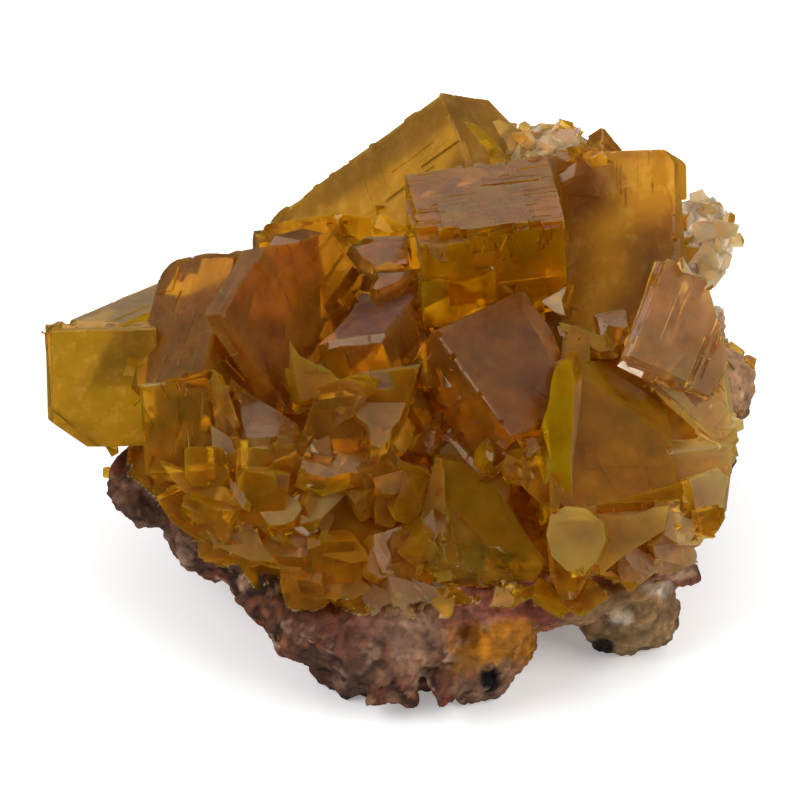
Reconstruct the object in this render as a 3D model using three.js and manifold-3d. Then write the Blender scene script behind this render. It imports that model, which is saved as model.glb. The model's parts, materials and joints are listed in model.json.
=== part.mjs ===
// Fluorite specimen: amber cubes grown together on a piece of red-brown rock.
// Millimetres, +Z up, +Y to the back, origin at the middle of the base.
// The numbers below are measured before the whole is moved to that origin.

import * as THREE from 'three';
import { mergeVertices } from 'three/addons/utils/BufferGeometryUtils.js';
import { ConvexGeometry } from 'three/addons/geometries/ConvexGeometry.js';
import Module from 'manifold-3d';

// Driving dimensions

const viewTilt = 50; // degrees by which the slanting front view looks down
const viewHeight = 24; // height of the middle of that view above the ground
const bedGap = 0.3; // gap between the rock and the crystals
const bedReach = 48; // half width of the sheet that parts rock and crystals
const bedCells = 16; // facets of that sheet along one side
const bedRoughness = 0.7; // largest bump of the sheet, up or down
const knotBlend = 1.5; // distance over which the height at a knot spreads
const groundDepth = 40; // depth of the block under the sheet
const lumpCell = 5; // length of one facet of a lump
const lumpWaves = 5; // waves that push the skin of a lump in and out
const waveTurns = [2, 6]; // how often they turn over a lump
const waveHeight = [0.03, 0.1]; // their height, as a part of its half widths
const lumpJitter = 0.06; // random push of each corner on top of the waves
const stepStart = [0, 0.55]; // where a growth block starts, as a part of the edge
const stepLength = [0.25, 0.45]; // its length, as a part of the edge
const stepHeight = [0.15, 0.45]; // how far it stands out of the face
const stepRoot = 1; // how deep it reaches into the crystal
const flakeTaper = 0.8; // size of the back of a flake, as a part of its front
const cubeProportion = [0.7, 1]; // short edges of a loose cube, as parts of its longest
const breakPlace = [0.25, 0.5]; // distance of a broken facet from the middle, as a part of the edge
const breakSide = 0.3; // how far a broken facet may look down instead of up
const weldDistance = 1e-4; // corners nearer than this are one corner

const amber = 0xa87420;
const redBrown = 0x6e4a38;

// Crystals of the front, laid out in the slanting front view.
// corner: the near corner, to the right, up and towards the viewer from the middle of the view.
// edges: the directions in which the three edges leave that corner, in degrees as seen in the view.
// size: the lengths of the three edges.
// cuts: broken or bevelled edges, as two points of the view and the lean of the facet.
// What lies to the left of the line from the first point to the second is gone.
// steps: number of thin growth blocks on the near faces.

const frontCrystals = {
  farLeft: {
    corner: [-34.9, 6.9, -3], edges: [1.9, -88.5, 139], size: [10.5, 11.8, 9],
    cuts: [[[-30.6, -5.2], [-34.7, -2.4], 0], [[-29.6, -4.0], [-34.4, -0.2], 62]],
  },
  farLeftBack: {
    corner: [-30.2, 6.6, -5], edges: [24, 155, -90], size: [13, 4.2, 8],
    cuts: [[[-29.0, 10.6], [-25.0, 11.9], 20]],
  },
  leftBrown: {
    corner: [-19.5, 2.8, 2.5], edges: [192, 76, -46], size: [9.2, 15.6, 9],
    cuts: [[[-24.0, 11.8], [-21.4, 14.7], 15], [[-21.4, 14.9], [-14.2, 15.5], 15]],
    steps: 2,
  },
  leftMain: {
    corner: [-17.6, 8.6, 5], edges: [60, -56, 187], size: [19, 13.8, 2.6],
    cuts: [[[-14.4, 15.2], [-5.2, 16.6], 0], [[-4.8, 15.9], [-3.4, 11.0], 10]],
    steps: 3,
  },
  leftMainLow: {
    corner: [-10.0, -0.2, 3.4], edges: [100, 8, -125], size: [6.5, 5.5, 6],
    steps: 2,
  },
  middleSheen: {
    corner: [-1.4, 6.4, 1], edges: [187.5, 55.6, -70.5], size: [7.6, 8.4, 7],
    steps: 1,
  },
  middleLedge: {
    corner: [0, 11.4, -2.5], edges: [187.5, 55.6, -70.5], size: [3.4, 5.4, 5],
  },
  middleDark: {
    corner: [0.8, 13.6, -6], edges: [190, 97, -60], size: [5.6, 3, 8],
  },
  middleBack: {
    corner: [2.5, 15.5, -9], edges: [160, 60, -80], size: [6, 6, 8],
  },
  backLong: {
    corner: [7.3, 22, -4], edges: [216, 110, -8], size: [26, 10.3, 11],
    cuts: [[[8.9, 30.2], [11.7, 27.3], 0], [[-13.8, 15.8], [-11.6, 19.9], 20]],
    steps: 2,
  },
  mainCube: {
    corner: [2, 15.8, 3], edges: [7.9, 103, -87.3], size: [14.7, 9.8, 12.4],
    steps: 5,
  },
  tallRight: {
    corner: [27.8, 5.5, -5], edges: [91, 182.5, -40], size: [20, 13.6, 8],
    cuts: [[[26.2, 25.5], [28.1, 23.8], 10]],
    steps: 3,
  },
  darkTip: {
    corner: [20.3, 25, -8], edges: [88, 213, -50], size: [5.4, 5, 3.4],
  },
  centre: {
    corner: [11.2, -3.7, 6.5], edges: [126.4, 24.7, 235], size: [13.7, 12.2, 7],
    cuts: [[[14.5, 8.5], [16.3, 4.0], 5]],
    steps: 1,
  },
  rightPlate: {
    corner: [22.6, 4.3, 2], edges: [67, -26.6, 225], size: [11.7, 9.5, 3],
    cuts: [[[26.4, 14.6], [30.5, 12.6], 0], [[30.5, 12.6], [31.6, 8.5], 0]],
    steps: 4,
  },
  rightBig: {
    corner: [15.2, -11.2, 5], edges: [4, 96, -125], size: [13, 15.5, 8],
    cuts: [[[16.2, 3.9], [26.8, -3.8], 35], [[13.9, -4.8], [16.0, 3.8], 20]],
    steps: 2,
  },
  rightPale: {
    corner: [32.2, -4.2, 1], edges: [142, 50, -95], size: [9.2, 8, 6],
    cuts: [[[32.2, 4.0], [32.9, -1.0], 5], [[25.5, 3.3], [29, 4.3], 0], [[29, 4.3], [33.5, 3.4], 0]],
    steps: 2,
  },
  rightLow: {
    corner: [26.9, -5.2, 2], edges: [8, -86, 135], size: [6.4, 8, 6],
    cuts: [[[34, -4], [31.5, -13], 10]],
  },
  frontOlive: {
    corner: [4.5, -16, 6], edges: [96, -20, 215], size: [13.5, 12, 3],
    cuts: [[[7, -3.8], [14.5, -13], 20], [[3.6, -5.5], [6.2, -4.0], 25]],
    steps: 1,
  },
  leftOrange: {
    corner: [-18.5, -6.8, 1.5], edges: [94, 184.5, -40], size: [9, 7, 6],
    steps: 2,
  },
  leftTriangle: {
    corner: [-15.2, -4.1, 4], edges: [111.5, 5, -100], size: [9.9, 5.7, 9.3],
    cuts: [[[-17.8, 2.7], [-9.5, -3.0], 0]],
  },
};

// Broken faces and flakes of the front, as outlines in the same view.
// depth: towards the viewer at the first point; slope: its gain to the right and upwards.

const frontShards = {
  greyFacet: {
    outline: [[-5.5, 2.2], [2.0, 3.4], [0.5, -0.5], [-1.2, -4.0], [-2.5, -4.7], [-4.0, -1.5]],
    depth: 5, slope: [-0.1, 0.25], thickness: 6,
  },
  tanFacet: {
    outline: [
      [-8.0, 1.5], [-5.5, 2.2], [-3.8, -1.5], [-3.5, -4.0], [-6.0, -7.0], [-10.0, -7.0], [-10.4, -5.0],
    ],
    depth: 4.4, slope: [0.15, 0.1], thickness: 6,
  },
  leftSliver: {
    outline: [[-19.3, 3.3], [-17.8, 2.7], [-16.4, -2.0], [-15.3, -4.5], [-15.8, -10.4], [-17.8, -6.5]],
    depth: 3, slope: [0.4, 0.1], thickness: 5,
  },
  rightBigLobe: {
    outline: [
      [14.1, -3.0], [16.5, -3.0], [16.5, -11.0], [14.1, -10.4], [12.0, -8.5], [12.1, -7.0], [13.1, -5.3],
    ],
    depth: 4.6, slope: [0.1, 0.1], thickness: 6,
  },
  rightBigFoot: {
    outline: [
      [14.5, -11.8], [25.0, -10.5], [29.0, -8.0], [30.0, -13.5], [25.0, -15.2], [22.5, -18.2], [17.5, -17.0],
    ],
    depth: 4.8, slope: [-0.15, 0.4], thickness: 6,
  },
  paleFlake: {
    outline: [[16.0, -11.2], [18.0, -11.0], [20.3, -13.0], [20.5, -14.5], [18.0, -19.0], [17.5, -20.0],
      [16.0, -19.8], [15.0, -17.5], [14.6, -13.0]],
    depth: 6.2, slope: [0, 0.3], thickness: 2.4,
  },
  oliveSide: {
    outline: [[3.6, -5.5], [4.4, -6.0], [4.6, -16.5], [4.0, -17.8], [1.8, -12.7], [3.9, -9.5]],
    depth: 4.5, slope: [0.5, 0.1], thickness: 5,
  },
};

// Fields of small broken pieces, as outlines in the same view, with the depth at the first point

const chipFields = {
  lowFront: {
    outline: [
      [-16, -4.5], [-10, -7], [-3, -4.8], [1.5, -8], [3.5, -16], [5, -24], [-5, -22], [-17, -14.5], [-24, -9],
    ],
    depth: 3, slope: [0, 0.13], spacing: 3.8, size: [3.6, 6.4], seed: 7,
  },
  cleft: {
    outline: [[2.8, 3.5], [5.5, 3.5], [9, -4], [6, -4.2], [3, -6], [0.5, -5]],
    depth: -1, slope: [0, 0], spacing: 3, size: [2.8, 4.6], seed: 8,
  },
  rightEdge: {
    outline: [[32, -1], [34, -1], [34.2, -4], [33, -7.5], [31.5, -7], [32, -4]],
    depth: -1, slope: [0, 0], spacing: 1.8, size: [1.8, 3], seed: 9,
  },
  goldLedge: {
    outline: [[14.5, 11.5], [17, 8.5], [22, 7], [22, 4.5], [19, 4.8], [16, 5.5], [14, 10]],
    depth: -2.5, slope: [0, 0], spacing: 2.5, size: [2.4, 4], seed: 10,
  },
  rightRim: {
    outline: [[5, -20], [14, -17.5], [22, -17], [30, -11], [30, -14.5], [24, -18.5], [14, -21.5], [6, -23.5]],
    depth: 2.2, slope: [-0.1, 0.13], spacing: 3.3, size: [2.6, 4.6], seed: 11,
  },
  underCentre: {
    outline: [[9.5, -4.6], [14, -3.4], [14.3, -5], [12.5, -8], [9, -6]],
    depth: 3.4, slope: [0, 0.2], spacing: 1.8, size: [2.4, 3.4], seed: 12,
  },
};

// Cubes of the back and of the right end, spread over the upper half of an ellipsoid.
// azimuths and heights: their range as seen from its middle, in degrees.

const backCubes = {
  middle: [0, 3, 12], radii: [29, 21, 15], azimuths: [6, 141], heights: [4, 39],
  count: 22, size: [6, 11], seed: 24,
};

// Massive fluorite under the crystals: middle, half widths and seed

const coreLumps = [
  { middle: [0, 4, 13], radii: [24, 15, 8], seed: 1 },
  { middle: [-17, 1, 14], radii: [11, 7, 5.5], seed: 2 },
  { middle: [10, 14, 16], radii: [15, 10, 9], seed: 3 },
  { middle: [20, -1, 13], radii: [10, 8, 7], seed: 4 },
  { middle: [0, -7.5, 11.6], radii: [16, 7.4, 6.2], seed: 5 },
  { middle: [-8, 12, 13.5], radii: [13, 9, 7.4], seed: 6 },
];

// Lumps of the rock below the bed

const rockLumps = [
  { middle: [2, 4, 9], radii: [27, 20, 9.5], seed: 11 },
  { middle: [2, -11, 8], radii: [15, 8.6, 9], seed: 12 },
  { middle: [8.5, -15.4, 4], radii: [5.4, 5.2, 6], seed: 13 },
  { middle: [3, -15.2, 3.5], radii: [6, 4.8, 5], seed: 21 },
  { middle: [-3.4, -14.9, 3.5], radii: [6.6, 4.8, 6], seed: 14 },
  { middle: [-10.2, -8.6, 6], radii: [7.2, 6, 6], seed: 15 },
  { middle: [-17.5, -4.5, 9.5], radii: [6.5, 5, 4.5], seed: 22 },
  { middle: [-25, -1.2, 12], radii: [5.2, 5, 3.4], seed: 23 },
  { middle: [-19, 2, 12.5], radii: [9.5, 7, 3.8], seed: 16 },
  { middle: [22.8, -10.6, 4.2], radii: [5, 5, 6.2], seed: 17 },
  { middle: [26, 4, 11.5], radii: [8, 10, 6.5], seed: 18 },
  { middle: [4, 20, 8], radii: [17, 9, 9.4], seed: 19 },
  { middle: [-12, 12, 9], radii: [12, 9, 9], seed: 20 },
];

// Pale crust that climbs past the bed at the right and at the back

const crustLumps = [
  { middle: [28.3, 22.6, 20.5], radii: [5, 5, 6.6], seed: 31 },
  { middle: [27, 15, 14], radii: [6.5, 7, 6], seed: 32 },
  { middle: [32.2, 9.5, 15], radii: [3.6, 4.4, 4.6], seed: 33 },
  { middle: [14, 23.5, 17], radii: [7, 6, 7], seed: 35 },
  { middle: [15, 27, 26.2], radii: [7, 4.6, 6], seed: 34 },
];

// Angular rubble on the front wall of the rock, as outlines in the slanting view

const rubbleFields = {
  leftWall: {
    outline: [
      [-26, -6], [-22, -8], [-15, -14], [-9, -19], [-7, -22.5], [-10.4, -19.8], [-16.4, -14.5], [-22, -9.6],
    ],
    depth: -7, slope: [0.15, 0], spacing: 3, size: [3, 4.6], seed: 41,
  },
  frontWall: {
    outline: [
      [-8, -21], [3, -22], [11, -22.6], [12.6, -24], [10.4, -28], [3, -28.2], [-4, -27.2], [-7.6, -24.6],
    ],
    depth: 1, slope: [0, 0.4], spacing: 3.5, size: [3.6, 6], seed: 42,
  },
  rightWall: {
    outline: [[14, -21.5], [24, -18], [30, -14], [29, -17.5], [24, -20], [15, -22.5]],
    depth: -4, slope: [-0.1, 0.1], spacing: 3.4, size: [3, 5], seed: 43,
  },
};

// Heights of the bed between rock and crystals at points of the ground plan

const bedKnots = [
  [5, -20, 13.7], [-11, -15, 9.5], [-18, -9, 10.9], [-25, -4, 13], [-31, 0, 13.5], [25, -12, 10.6],
  [31, -5, 8.5], [35, 5, 13], [0, 0, 14], [20, 5, 14], [-15, 8, 14], [5, 20, 15], [25, 18, 15], [-10, 20, 14],
];

const wasm = await Module();
wasm.setup();

// Seeded random numbers between 0 and 1

function randomFrom(seed) {
  let state = Math.imul(seed, 40503) + 12345;
  return () => {
    state = (state + 0x6d2b79f5) | 0;
    let mixed = Math.imul(state ^ (state >>> 15), 1 | state);
    mixed = (mixed + Math.imul(mixed ^ (mixed >>> 7), 61 | mixed)) ^ mixed;
    return ((mixed ^ (mixed >>> 14)) >>> 0) / 4294967296;
  };
}

function between(random, [low, high]) {
  return low + (high - low) * random();
}

// Closed geometry to solid and back

function toSolid(geometry) {
  const bare = geometry.clone();
  bare.deleteAttribute('normal');
  bare.deleteAttribute('uv');
  const merged = mergeVertices(bare, weldDistance);
  return new wasm.Manifold(new wasm.Mesh({
    numProp: 3,
    vertProperties: merged.attributes.position.array,
    triVerts: new Uint32Array(merged.index.array),
  }));
}

function toGeometry(solid) {
  const { vertProperties, triVerts } = solid.getMesh();
  const geometry = new THREE.BufferGeometry();
  geometry.setAttribute('position', new THREE.BufferAttribute(vertProperties, 3));
  geometry.setIndex(new THREE.BufferAttribute(triVerts, 1));
  geometry.computeVertexNormals();
  return geometry;
}

function unite(solids) {
  return solids.reduce((joined, next) => joined.add(next));
}

function largestPiece(solid) {
  return solid.decompose().reduce((best, next) => (next.volume() > best.volume() ? next : best));
}

// Directions and places of the slanting front view, in the frame of the part

const tilt = THREE.MathUtils.degToRad(viewTilt);
const viewToward = new THREE.Vector3(0, -Math.cos(tilt), Math.sin(tilt));
const viewFrame = new THREE.Matrix4()
  .makeBasis(new THREE.Vector3(1, 0, 0), new THREE.Vector3(0, Math.sin(tilt), Math.cos(tilt)), viewToward)
  .setPosition(0, 0, viewHeight);

function fromView(right, up, toward) {
  return new THREE.Vector3(right, up, toward).applyMatrix4(viewFrame);
}

// Three edges at right angles to each other, in the view, from the directions in which it shows them.
// Each two of the directions are more than 90 degrees apart.

function cubeEdges(degrees) {
  const [a, b, c] = degrees.map(THREE.MathUtils.degToRad);
  const ab = -Math.cos(a - b);
  const ac = -Math.cos(a - c);
  const bc = -Math.cos(b - c);
  const recede = [Math.sqrt((ab * ac) / bc), Math.sqrt((ab * bc) / ac), Math.sqrt((ac * bc) / ab)];
  return [a, b, c].map((angle, i) => {
    const shown = 1 / Math.hypot(1, recede[i]);
    return new THREE.Vector3(shown * Math.cos(angle), shown * Math.sin(angle), -recede[i] * shown);
  });
}

// Depth of the near faces of a crystal at a point of the view

function depthOn({ corner, edges }, [right, up]) {
  const axes = cubeEdges(edges);
  const x = right - corner[0];
  const y = up - corner[1];
  for (const [i, j] of [[0, 1], [1, 2], [0, 2]]) {
    const area = axes[i].x * axes[j].y - axes[i].y * axes[j].x;
    const alongI = (x * axes[j].y - y * axes[j].x) / area;
    const alongJ = (y * axes[i].x - x * axes[i].y) / area;
    if (alongI >= 0 && alongJ >= 0) {
      return corner[2] + alongI * axes[i].z + alongJ * axes[j].z;
    }
  }
  return corner[2];
}

// Block of a crystal between two corners, measured along its edges from its near corner

function block({ corner, edges }, low, high) {
  const axes = cubeEdges(edges);
  const points = [];
  for (const a of [low[0], high[0]]) {
    for (const b of [low[1], high[1]]) {
      for (const c of [low[2], high[2]]) {
        const point = new THREE.Vector3(...corner)
          .addScaledVector(axes[0], a)
          .addScaledVector(axes[1], b)
          .addScaledVector(axes[2], c);
        points.push(point.applyMatrix4(viewFrame));
      }
    }
  }
  return toSolid(new ConvexGeometry(points));
}

// Thin growth block on one of the near faces of a crystal

function growthStep(crystal, face, random) {
  const low = crystal.size.map((length) => between(random, stepStart) * length);
  const high = crystal.size.map((length, i) => low[i] + between(random, stepLength) * length);
  low[face] = -between(random, stepHeight);
  high[face] = stepRoot;
  return block(crystal, low, high);
}

// Facet through two points of the near faces, leaning away from the sight line

function cutFacet(solid, crystal, [first, second, lean]) {
  const start = fromView(...first, depthOn(crystal, first));
  const end = fromView(...second, depthOn(crystal, second));
  const along = end.sub(start).normalize();
  const outward = new THREE.Vector3().crossVectors(viewToward, along).normalize();
  const facing = new THREE.Vector3().crossVectors(along, outward);
  const angle = THREE.MathUtils.degToRad(lean);
  const normal = outward.multiplyScalar(Math.cos(angle)).addScaledVector(facing, Math.sin(angle)).negate();
  return solid.trimByPlane(normal.toArray(), normal.dot(start));
}

function frontCrystal(crystal, index) {
  const random = randomFrom(100 + index);
  let solid = block(crystal, [0, 0, 0], crystal.size);
  for (let i = 0; i < (crystal.steps ?? 0); i += 1) {
    solid = solid.add(growthStep(crystal, i % 3, random));
  }
  for (const cut of crystal.cuts ?? []) {
    solid = cutFacet(solid, crystal, cut);
  }
  return solid;
}

// Flake with a flat front face of the given outline, a little smaller at its back

function shard({ outline, depth, slope, thickness }) {
  const [firstX, firstY] = outline[0];
  const middleX = outline.reduce((sum, [x]) => sum + x, 0) / outline.length;
  const middleY = outline.reduce((sum, [, y]) => sum + y, 0) / outline.length;
  const points = [];
  for (const [x, y] of outline) {
    const front = depth + slope[0] * (x - firstX) + slope[1] * (y - firstY);
    points.push(fromView(x, y, front));
    points.push(fromView(
      middleX + flakeTaper * (x - middleX),
      middleY + flakeTaper * (y - middleY),
      front - thickness,
    ));
  }
  return toSolid(new ConvexGeometry(points));
}

// Cube or broken cube at a place of the part, turned at random

function looseCube(middle, edge, random, breaks) {
  const geometry = new THREE.BoxGeometry(
    edge,
    edge * between(random, cubeProportion),
    edge * between(random, cubeProportion),
  );
  const turn = new THREE.Euler(
    between(random, [0, Math.PI]),
    between(random, [0, Math.PI]),
    between(random, [0, Math.PI]),
  );
  geometry.applyMatrix4(new THREE.Matrix4().makeRotationFromEuler(turn));
  geometry.translate(middle.x, middle.y, middle.z);
  let solid = toSolid(geometry);
  for (let i = 0; i < breaks; i += 1) {
    solid = breakOff(solid, middle, edge, random);
  }
  return solid;
}

function breakOff(solid, middle, edge, random) {
  const inward = new THREE.Vector3(
    between(random, [-1, 1]),
    between(random, [-1, 1]),
    between(random, [-1, breakSide]),
  ).normalize();
  return solid.trimByPlane(inward.toArray(), inward.dot(middle) - edge * between(random, breakPlace));
}

function isInside([x, y], outline) {
  let inside = false;
  outline.forEach(([x1, y1], i) => {
    const [x2, y2] = outline[(i + 1) % outline.length];
    if ((y1 > y) !== (y2 > y) && x < x1 + ((x2 - x1) * (y - y1)) / (y2 - y1)) {
      inside = !inside;
    }
  });
  return inside;
}

function chips({ outline, depth, slope, spacing, size, seed }) {
  const random = randomFrom(seed);
  const xs = outline.map(([x]) => x);
  const ys = outline.map(([, y]) => y);
  const pieces = [];
  for (let y = Math.min(...ys); y < Math.max(...ys); y += spacing) {
    for (let x = Math.min(...xs); x < Math.max(...xs); x += spacing) {
      const place = [x + between(random, [0, spacing]), y + between(random, [0, spacing])];
      const edge = between(random, size);
      if (isInside(place, outline)) {
        const front = depth + slope[0] * (place[0] - outline[0][0]) + slope[1] * (place[1] - outline[0][1]);
        pieces.push(looseCube(fromView(...place, front), edge, random, 1));
      }
    }
  }
  return pieces;
}

function backCluster({ middle, radii, azimuths, heights, count, size, seed }) {
  const random = randomFrom(seed);
  const goldenPart = (Math.sqrt(5) - 1) / 2;
  const pieces = [];
  for (let i = 0; i < count; i += 1) {
    const azimuth = THREE.MathUtils.degToRad(THREE.MathUtils.lerp(...azimuths, (i + 0.5) / count));
    const height = THREE.MathUtils.degToRad(THREE.MathUtils.lerp(...heights, (i * goldenPart) % 1));
    const place = new THREE.Vector3(
      middle[0] + radii[0] * Math.cos(azimuth) * Math.cos(height),
      middle[1] + radii[1] * Math.sin(azimuth) * Math.cos(height),
      middle[2] + radii[2] * Math.sin(height),
    );
    pieces.push(looseCube(place, between(random, size), random, 0));
  }
  return pieces;
}

// Rough lump: a faceted ball pushed in and out at random, stretched to its half widths

function lump({ middle, radii, seed }, grow = 0) {
  const random = randomFrom(seed);
  const waves = Array.from({ length: lumpWaves }, () => ({
    direction: new THREE.Vector3(between(random, [-1, 1]), between(random, [-1, 1]), between(random, [-1, 1]))
      .multiplyScalar(between(random, waveTurns)),
    phase: between(random, [0, 2 * Math.PI]),
    height: between(random, waveHeight),
  }));
  const bare = new THREE.IcosahedronGeometry(1, Math.round(Math.max(...radii) / lumpCell / 2 + 0.5));
  bare.deleteAttribute('normal');
  bare.deleteAttribute('uv');
  const ball = mergeVertices(bare, weldDistance);
  const { position } = ball.attributes;
  for (let i = 0; i < position.count; i += 1) {
    const out = new THREE.Vector3().fromBufferAttribute(position, i).normalize();
    let reach = 1 + between(random, [-lumpJitter, lumpJitter]);
    for (const { direction, phase, height } of waves) {
      reach += height * Math.sin(direction.dot(out) + phase);
    }
    position.setXYZ(
      i,
      middle[0] + out.x * (radii[0] * reach + grow),
      middle[1] + out.y * (radii[1] * reach + grow),
      middle[2] + out.z * (radii[2] * reach + grow),
    );
  }
  return toSolid(ball);
}

// Block from far below the ground up to the bed, which sinks and rises between its knots

function bedAt(x, y) {
  let sum = 0;
  let weights = 0;
  for (const [knotX, knotY, height] of bedKnots) {
    const weight = 1 / (Math.hypot(x - knotX, y - knotY) + knotBlend) ** 3;
    sum += weight * height;
    weights += weight;
  }
  return sum / weights;
}

function belowBed(lift) {
  const random = randomFrom(3);
  const geometry = new THREE.BoxGeometry(2 * bedReach, 2 * bedReach, groundDepth, bedCells, bedCells, 1);
  geometry.deleteAttribute('normal');
  geometry.deleteAttribute('uv');
  const sheet = mergeVertices(geometry, weldDistance);
  const { position } = sheet.attributes;
  for (let i = 0; i < position.count; i += 1) {
    if (position.getZ(i) > 0) {
      const bump = between(random, [-bedRoughness, bedRoughness]);
      position.setZ(i, bedAt(position.getX(i), position.getY(i)) + bump + lift);
    }
  }
  return toSolid(sheet);
}

function fluoriteCrystals() {
  const grown = unite([
    ...coreLumps.map((item) => lump(item)),
    ...Object.values(frontCrystals).map(frontCrystal),
    ...Object.values(frontShards).map(shard),
    ...Object.values(chipFields).flatMap(chips),
    ...backCluster(backCubes),
  ]);
  const rock = unite([belowBed(bedGap), ...crustLumps.map((item) => lump(item, bedGap))]);
  return largestPiece(grown.subtract(rock));
}

function matrixRock() {
  const rubble = Object.values(rubbleFields).flatMap(chips);
  const plate = unite([...rockLumps.map((item) => lump(item)), ...rubble]).intersect(belowBed(0));
  const crust = unite(crustLumps.map((item) => lump(item)));
  return largestPiece(plate.add(crust).trimByPlane([0, 0, 1], 0));
}

function namedMesh(name, solid, color, roughness) {
  const material = new THREE.MeshStandardMaterial({ color, roughness, metalness: 0 });
  const mesh = new THREE.Mesh(toGeometry(solid), material);
  mesh.name = name;
  return mesh;
}

const specimen = new THREE.Group();
specimen.add(namedMesh('fluorite_crystals', fluoriteCrystals(), amber, 0.25));
specimen.add(namedMesh('matrix_rock', matrixRock(), redBrown, 0.9));

const middle = new THREE.Box3().setFromObject(specimen).getCenter(new THREE.Vector3());
specimen.position.set(-middle.x, -middle.y, 0);

export default specimen;
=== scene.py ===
"""Fluorite specimen: amber cubes grown together on red-brown rock. Metres, +Z up, +Y to the back."""

import json
import math
import random

import bmesh
import bpy
import numpy as np
from mathutils import Matrix, Vector, noise
from mathutils.bvhtree import BVHTree

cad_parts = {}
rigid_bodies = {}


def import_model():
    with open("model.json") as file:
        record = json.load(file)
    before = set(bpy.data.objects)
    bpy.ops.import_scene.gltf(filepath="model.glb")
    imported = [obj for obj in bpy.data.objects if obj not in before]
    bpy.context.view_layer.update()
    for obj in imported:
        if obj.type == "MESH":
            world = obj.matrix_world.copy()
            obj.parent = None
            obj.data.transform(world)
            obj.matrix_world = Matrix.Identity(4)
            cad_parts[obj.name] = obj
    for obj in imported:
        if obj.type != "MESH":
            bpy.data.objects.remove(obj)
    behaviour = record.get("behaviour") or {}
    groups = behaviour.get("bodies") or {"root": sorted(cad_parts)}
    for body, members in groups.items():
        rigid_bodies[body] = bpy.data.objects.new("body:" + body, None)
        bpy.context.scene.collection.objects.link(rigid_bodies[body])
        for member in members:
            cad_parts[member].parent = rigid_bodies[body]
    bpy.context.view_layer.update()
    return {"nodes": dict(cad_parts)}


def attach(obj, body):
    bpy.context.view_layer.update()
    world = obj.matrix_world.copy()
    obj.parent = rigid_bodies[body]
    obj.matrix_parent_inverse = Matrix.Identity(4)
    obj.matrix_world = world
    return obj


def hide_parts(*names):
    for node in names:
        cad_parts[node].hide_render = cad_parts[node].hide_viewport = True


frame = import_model()
MM = 0.001

# The slanting front view: its tilt, its middle in the frame of the part, and what the camera takes in

TILT = math.radians(50)
VIEW_MIDDLE = Vector((-0.0709, -4.8926, 24.0)) * MM
VIEW_RIGHT = Vector((1, 0, 0))
VIEW_UP = Vector((0, math.sin(TILT), math.cos(TILT)))
VIEW_TOWARD = Vector((0, -math.cos(TILT), math.sin(TILT)))
FIELD = 80 * MM
CAMERA_DISTANCE = 2.0
RAY_START = 60

# The studio. Lamps: name, azimuth, elevation, distance, size and power. Azimuth 0 stands in front and 90 at
# the right. The sky runs from its dim to its bright strength towards the side that is given.

LAMPS = [
    ("back", 178, 24, 0.8, 0.9, 3),
    ("left", -75, 42, 1.0, 0.6, 6.5),
    ("right", 75, 35, 1.0, 0.6, 6.5),
    ("glint", -32, 12, 1.0, 0.08, 0.7),
]
LAMP_TARGET = Vector((0, 0, 0.015))
SKY_SIDE = (0, 0.6, 0.8)
SKY_SPAN = (0.3, 1.0)
SKY_STRENGTH = (0.035, 1.1)
FLOOR_REACH = 3.0
FLOOR_COLOUR = (0.9, 0.9, 0.9, 1)
FLOOR_GLOW = 0.25
WHITE = (1, 1, 1, 1)


def from_view(right, up, toward):
    """A place of the slanting front view, in millimetres, as a point of the part in metres."""
    return VIEW_MIDDLE + MM * (right * VIEW_RIGHT + up * VIEW_UP + toward * VIEW_TOWARD)


def place_in_view(point):
    offset = (point - VIEW_MIDDLE) / MM
    return offset.dot(VIEW_RIGHT), offset.dot(VIEW_UP)


def new_object(name, content):
    item = bpy.data.objects.new(name, content)
    bpy.context.scene.collection.objects.link(item)
    return item


def set_inputs(item, values):
    for name, value in values.items():
        item.inputs[name].default_value = value


def node(tree, kind, inputs=None, **settings):
    item = tree.nodes.new(kind)
    for name, value in settings.items():
        setattr(item, name, value)
    set_inputs(item, inputs or {})
    return item


def map_range(tree, value, span, result, **settings):
    """Runs from one result to the other while the value runs over the span."""
    limits = {"From Min": span[0], "From Max": span[1], "To Min": result[0], "To Max": result[1]}
    item = node(tree, "ShaderNodeMapRange", limits, **settings)
    tree.links.new(value, item.inputs["Value"])
    return item.outputs["Result"]


def noise_at(tree, place, scale, detail, roughness):
    item = node(tree, "ShaderNodeTexNoise", {"Scale": scale, "Detail": detail, "Roughness": roughness})
    tree.links.new(place, item.inputs["Vector"])
    return item.outputs["Fac"]


def math_of(tree, operation, first, second):
    item = node(tree, "ShaderNodeMath", operation=operation)
    tree.links.new(first, item.inputs[0])
    tree.links.new(second, item.inputs[1])
    return item.outputs["Value"]


def shaded(tree, colour, factor):
    item = node(tree, "ShaderNodeVectorMath", operation="SCALE")
    tree.links.new(colour, item.inputs[0])
    tree.links.new(factor, item.inputs["Scale"])
    return item.outputs["Vector"]


def add_bump(tree, shader, height, distance):
    item = node(tree, "ShaderNodeBump", {"Strength": 1, "Distance": distance})
    tree.links.new(height, item.inputs["Height"])
    tree.links.new(item.outputs["Normal"], shader.inputs["Normal"])


def new_material(name):
    material = bpy.data.materials.new(name)
    material.use_nodes = True
    tree = material.node_tree
    tree.nodes.clear()
    output = node(tree, "ShaderNodeOutputMaterial")
    shader = node(tree, "ShaderNodeBsdfPrincipled")
    tree.links.new(shader.outputs["BSDF"], output.inputs["Surface"])
    return material, tree, shader, output


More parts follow.
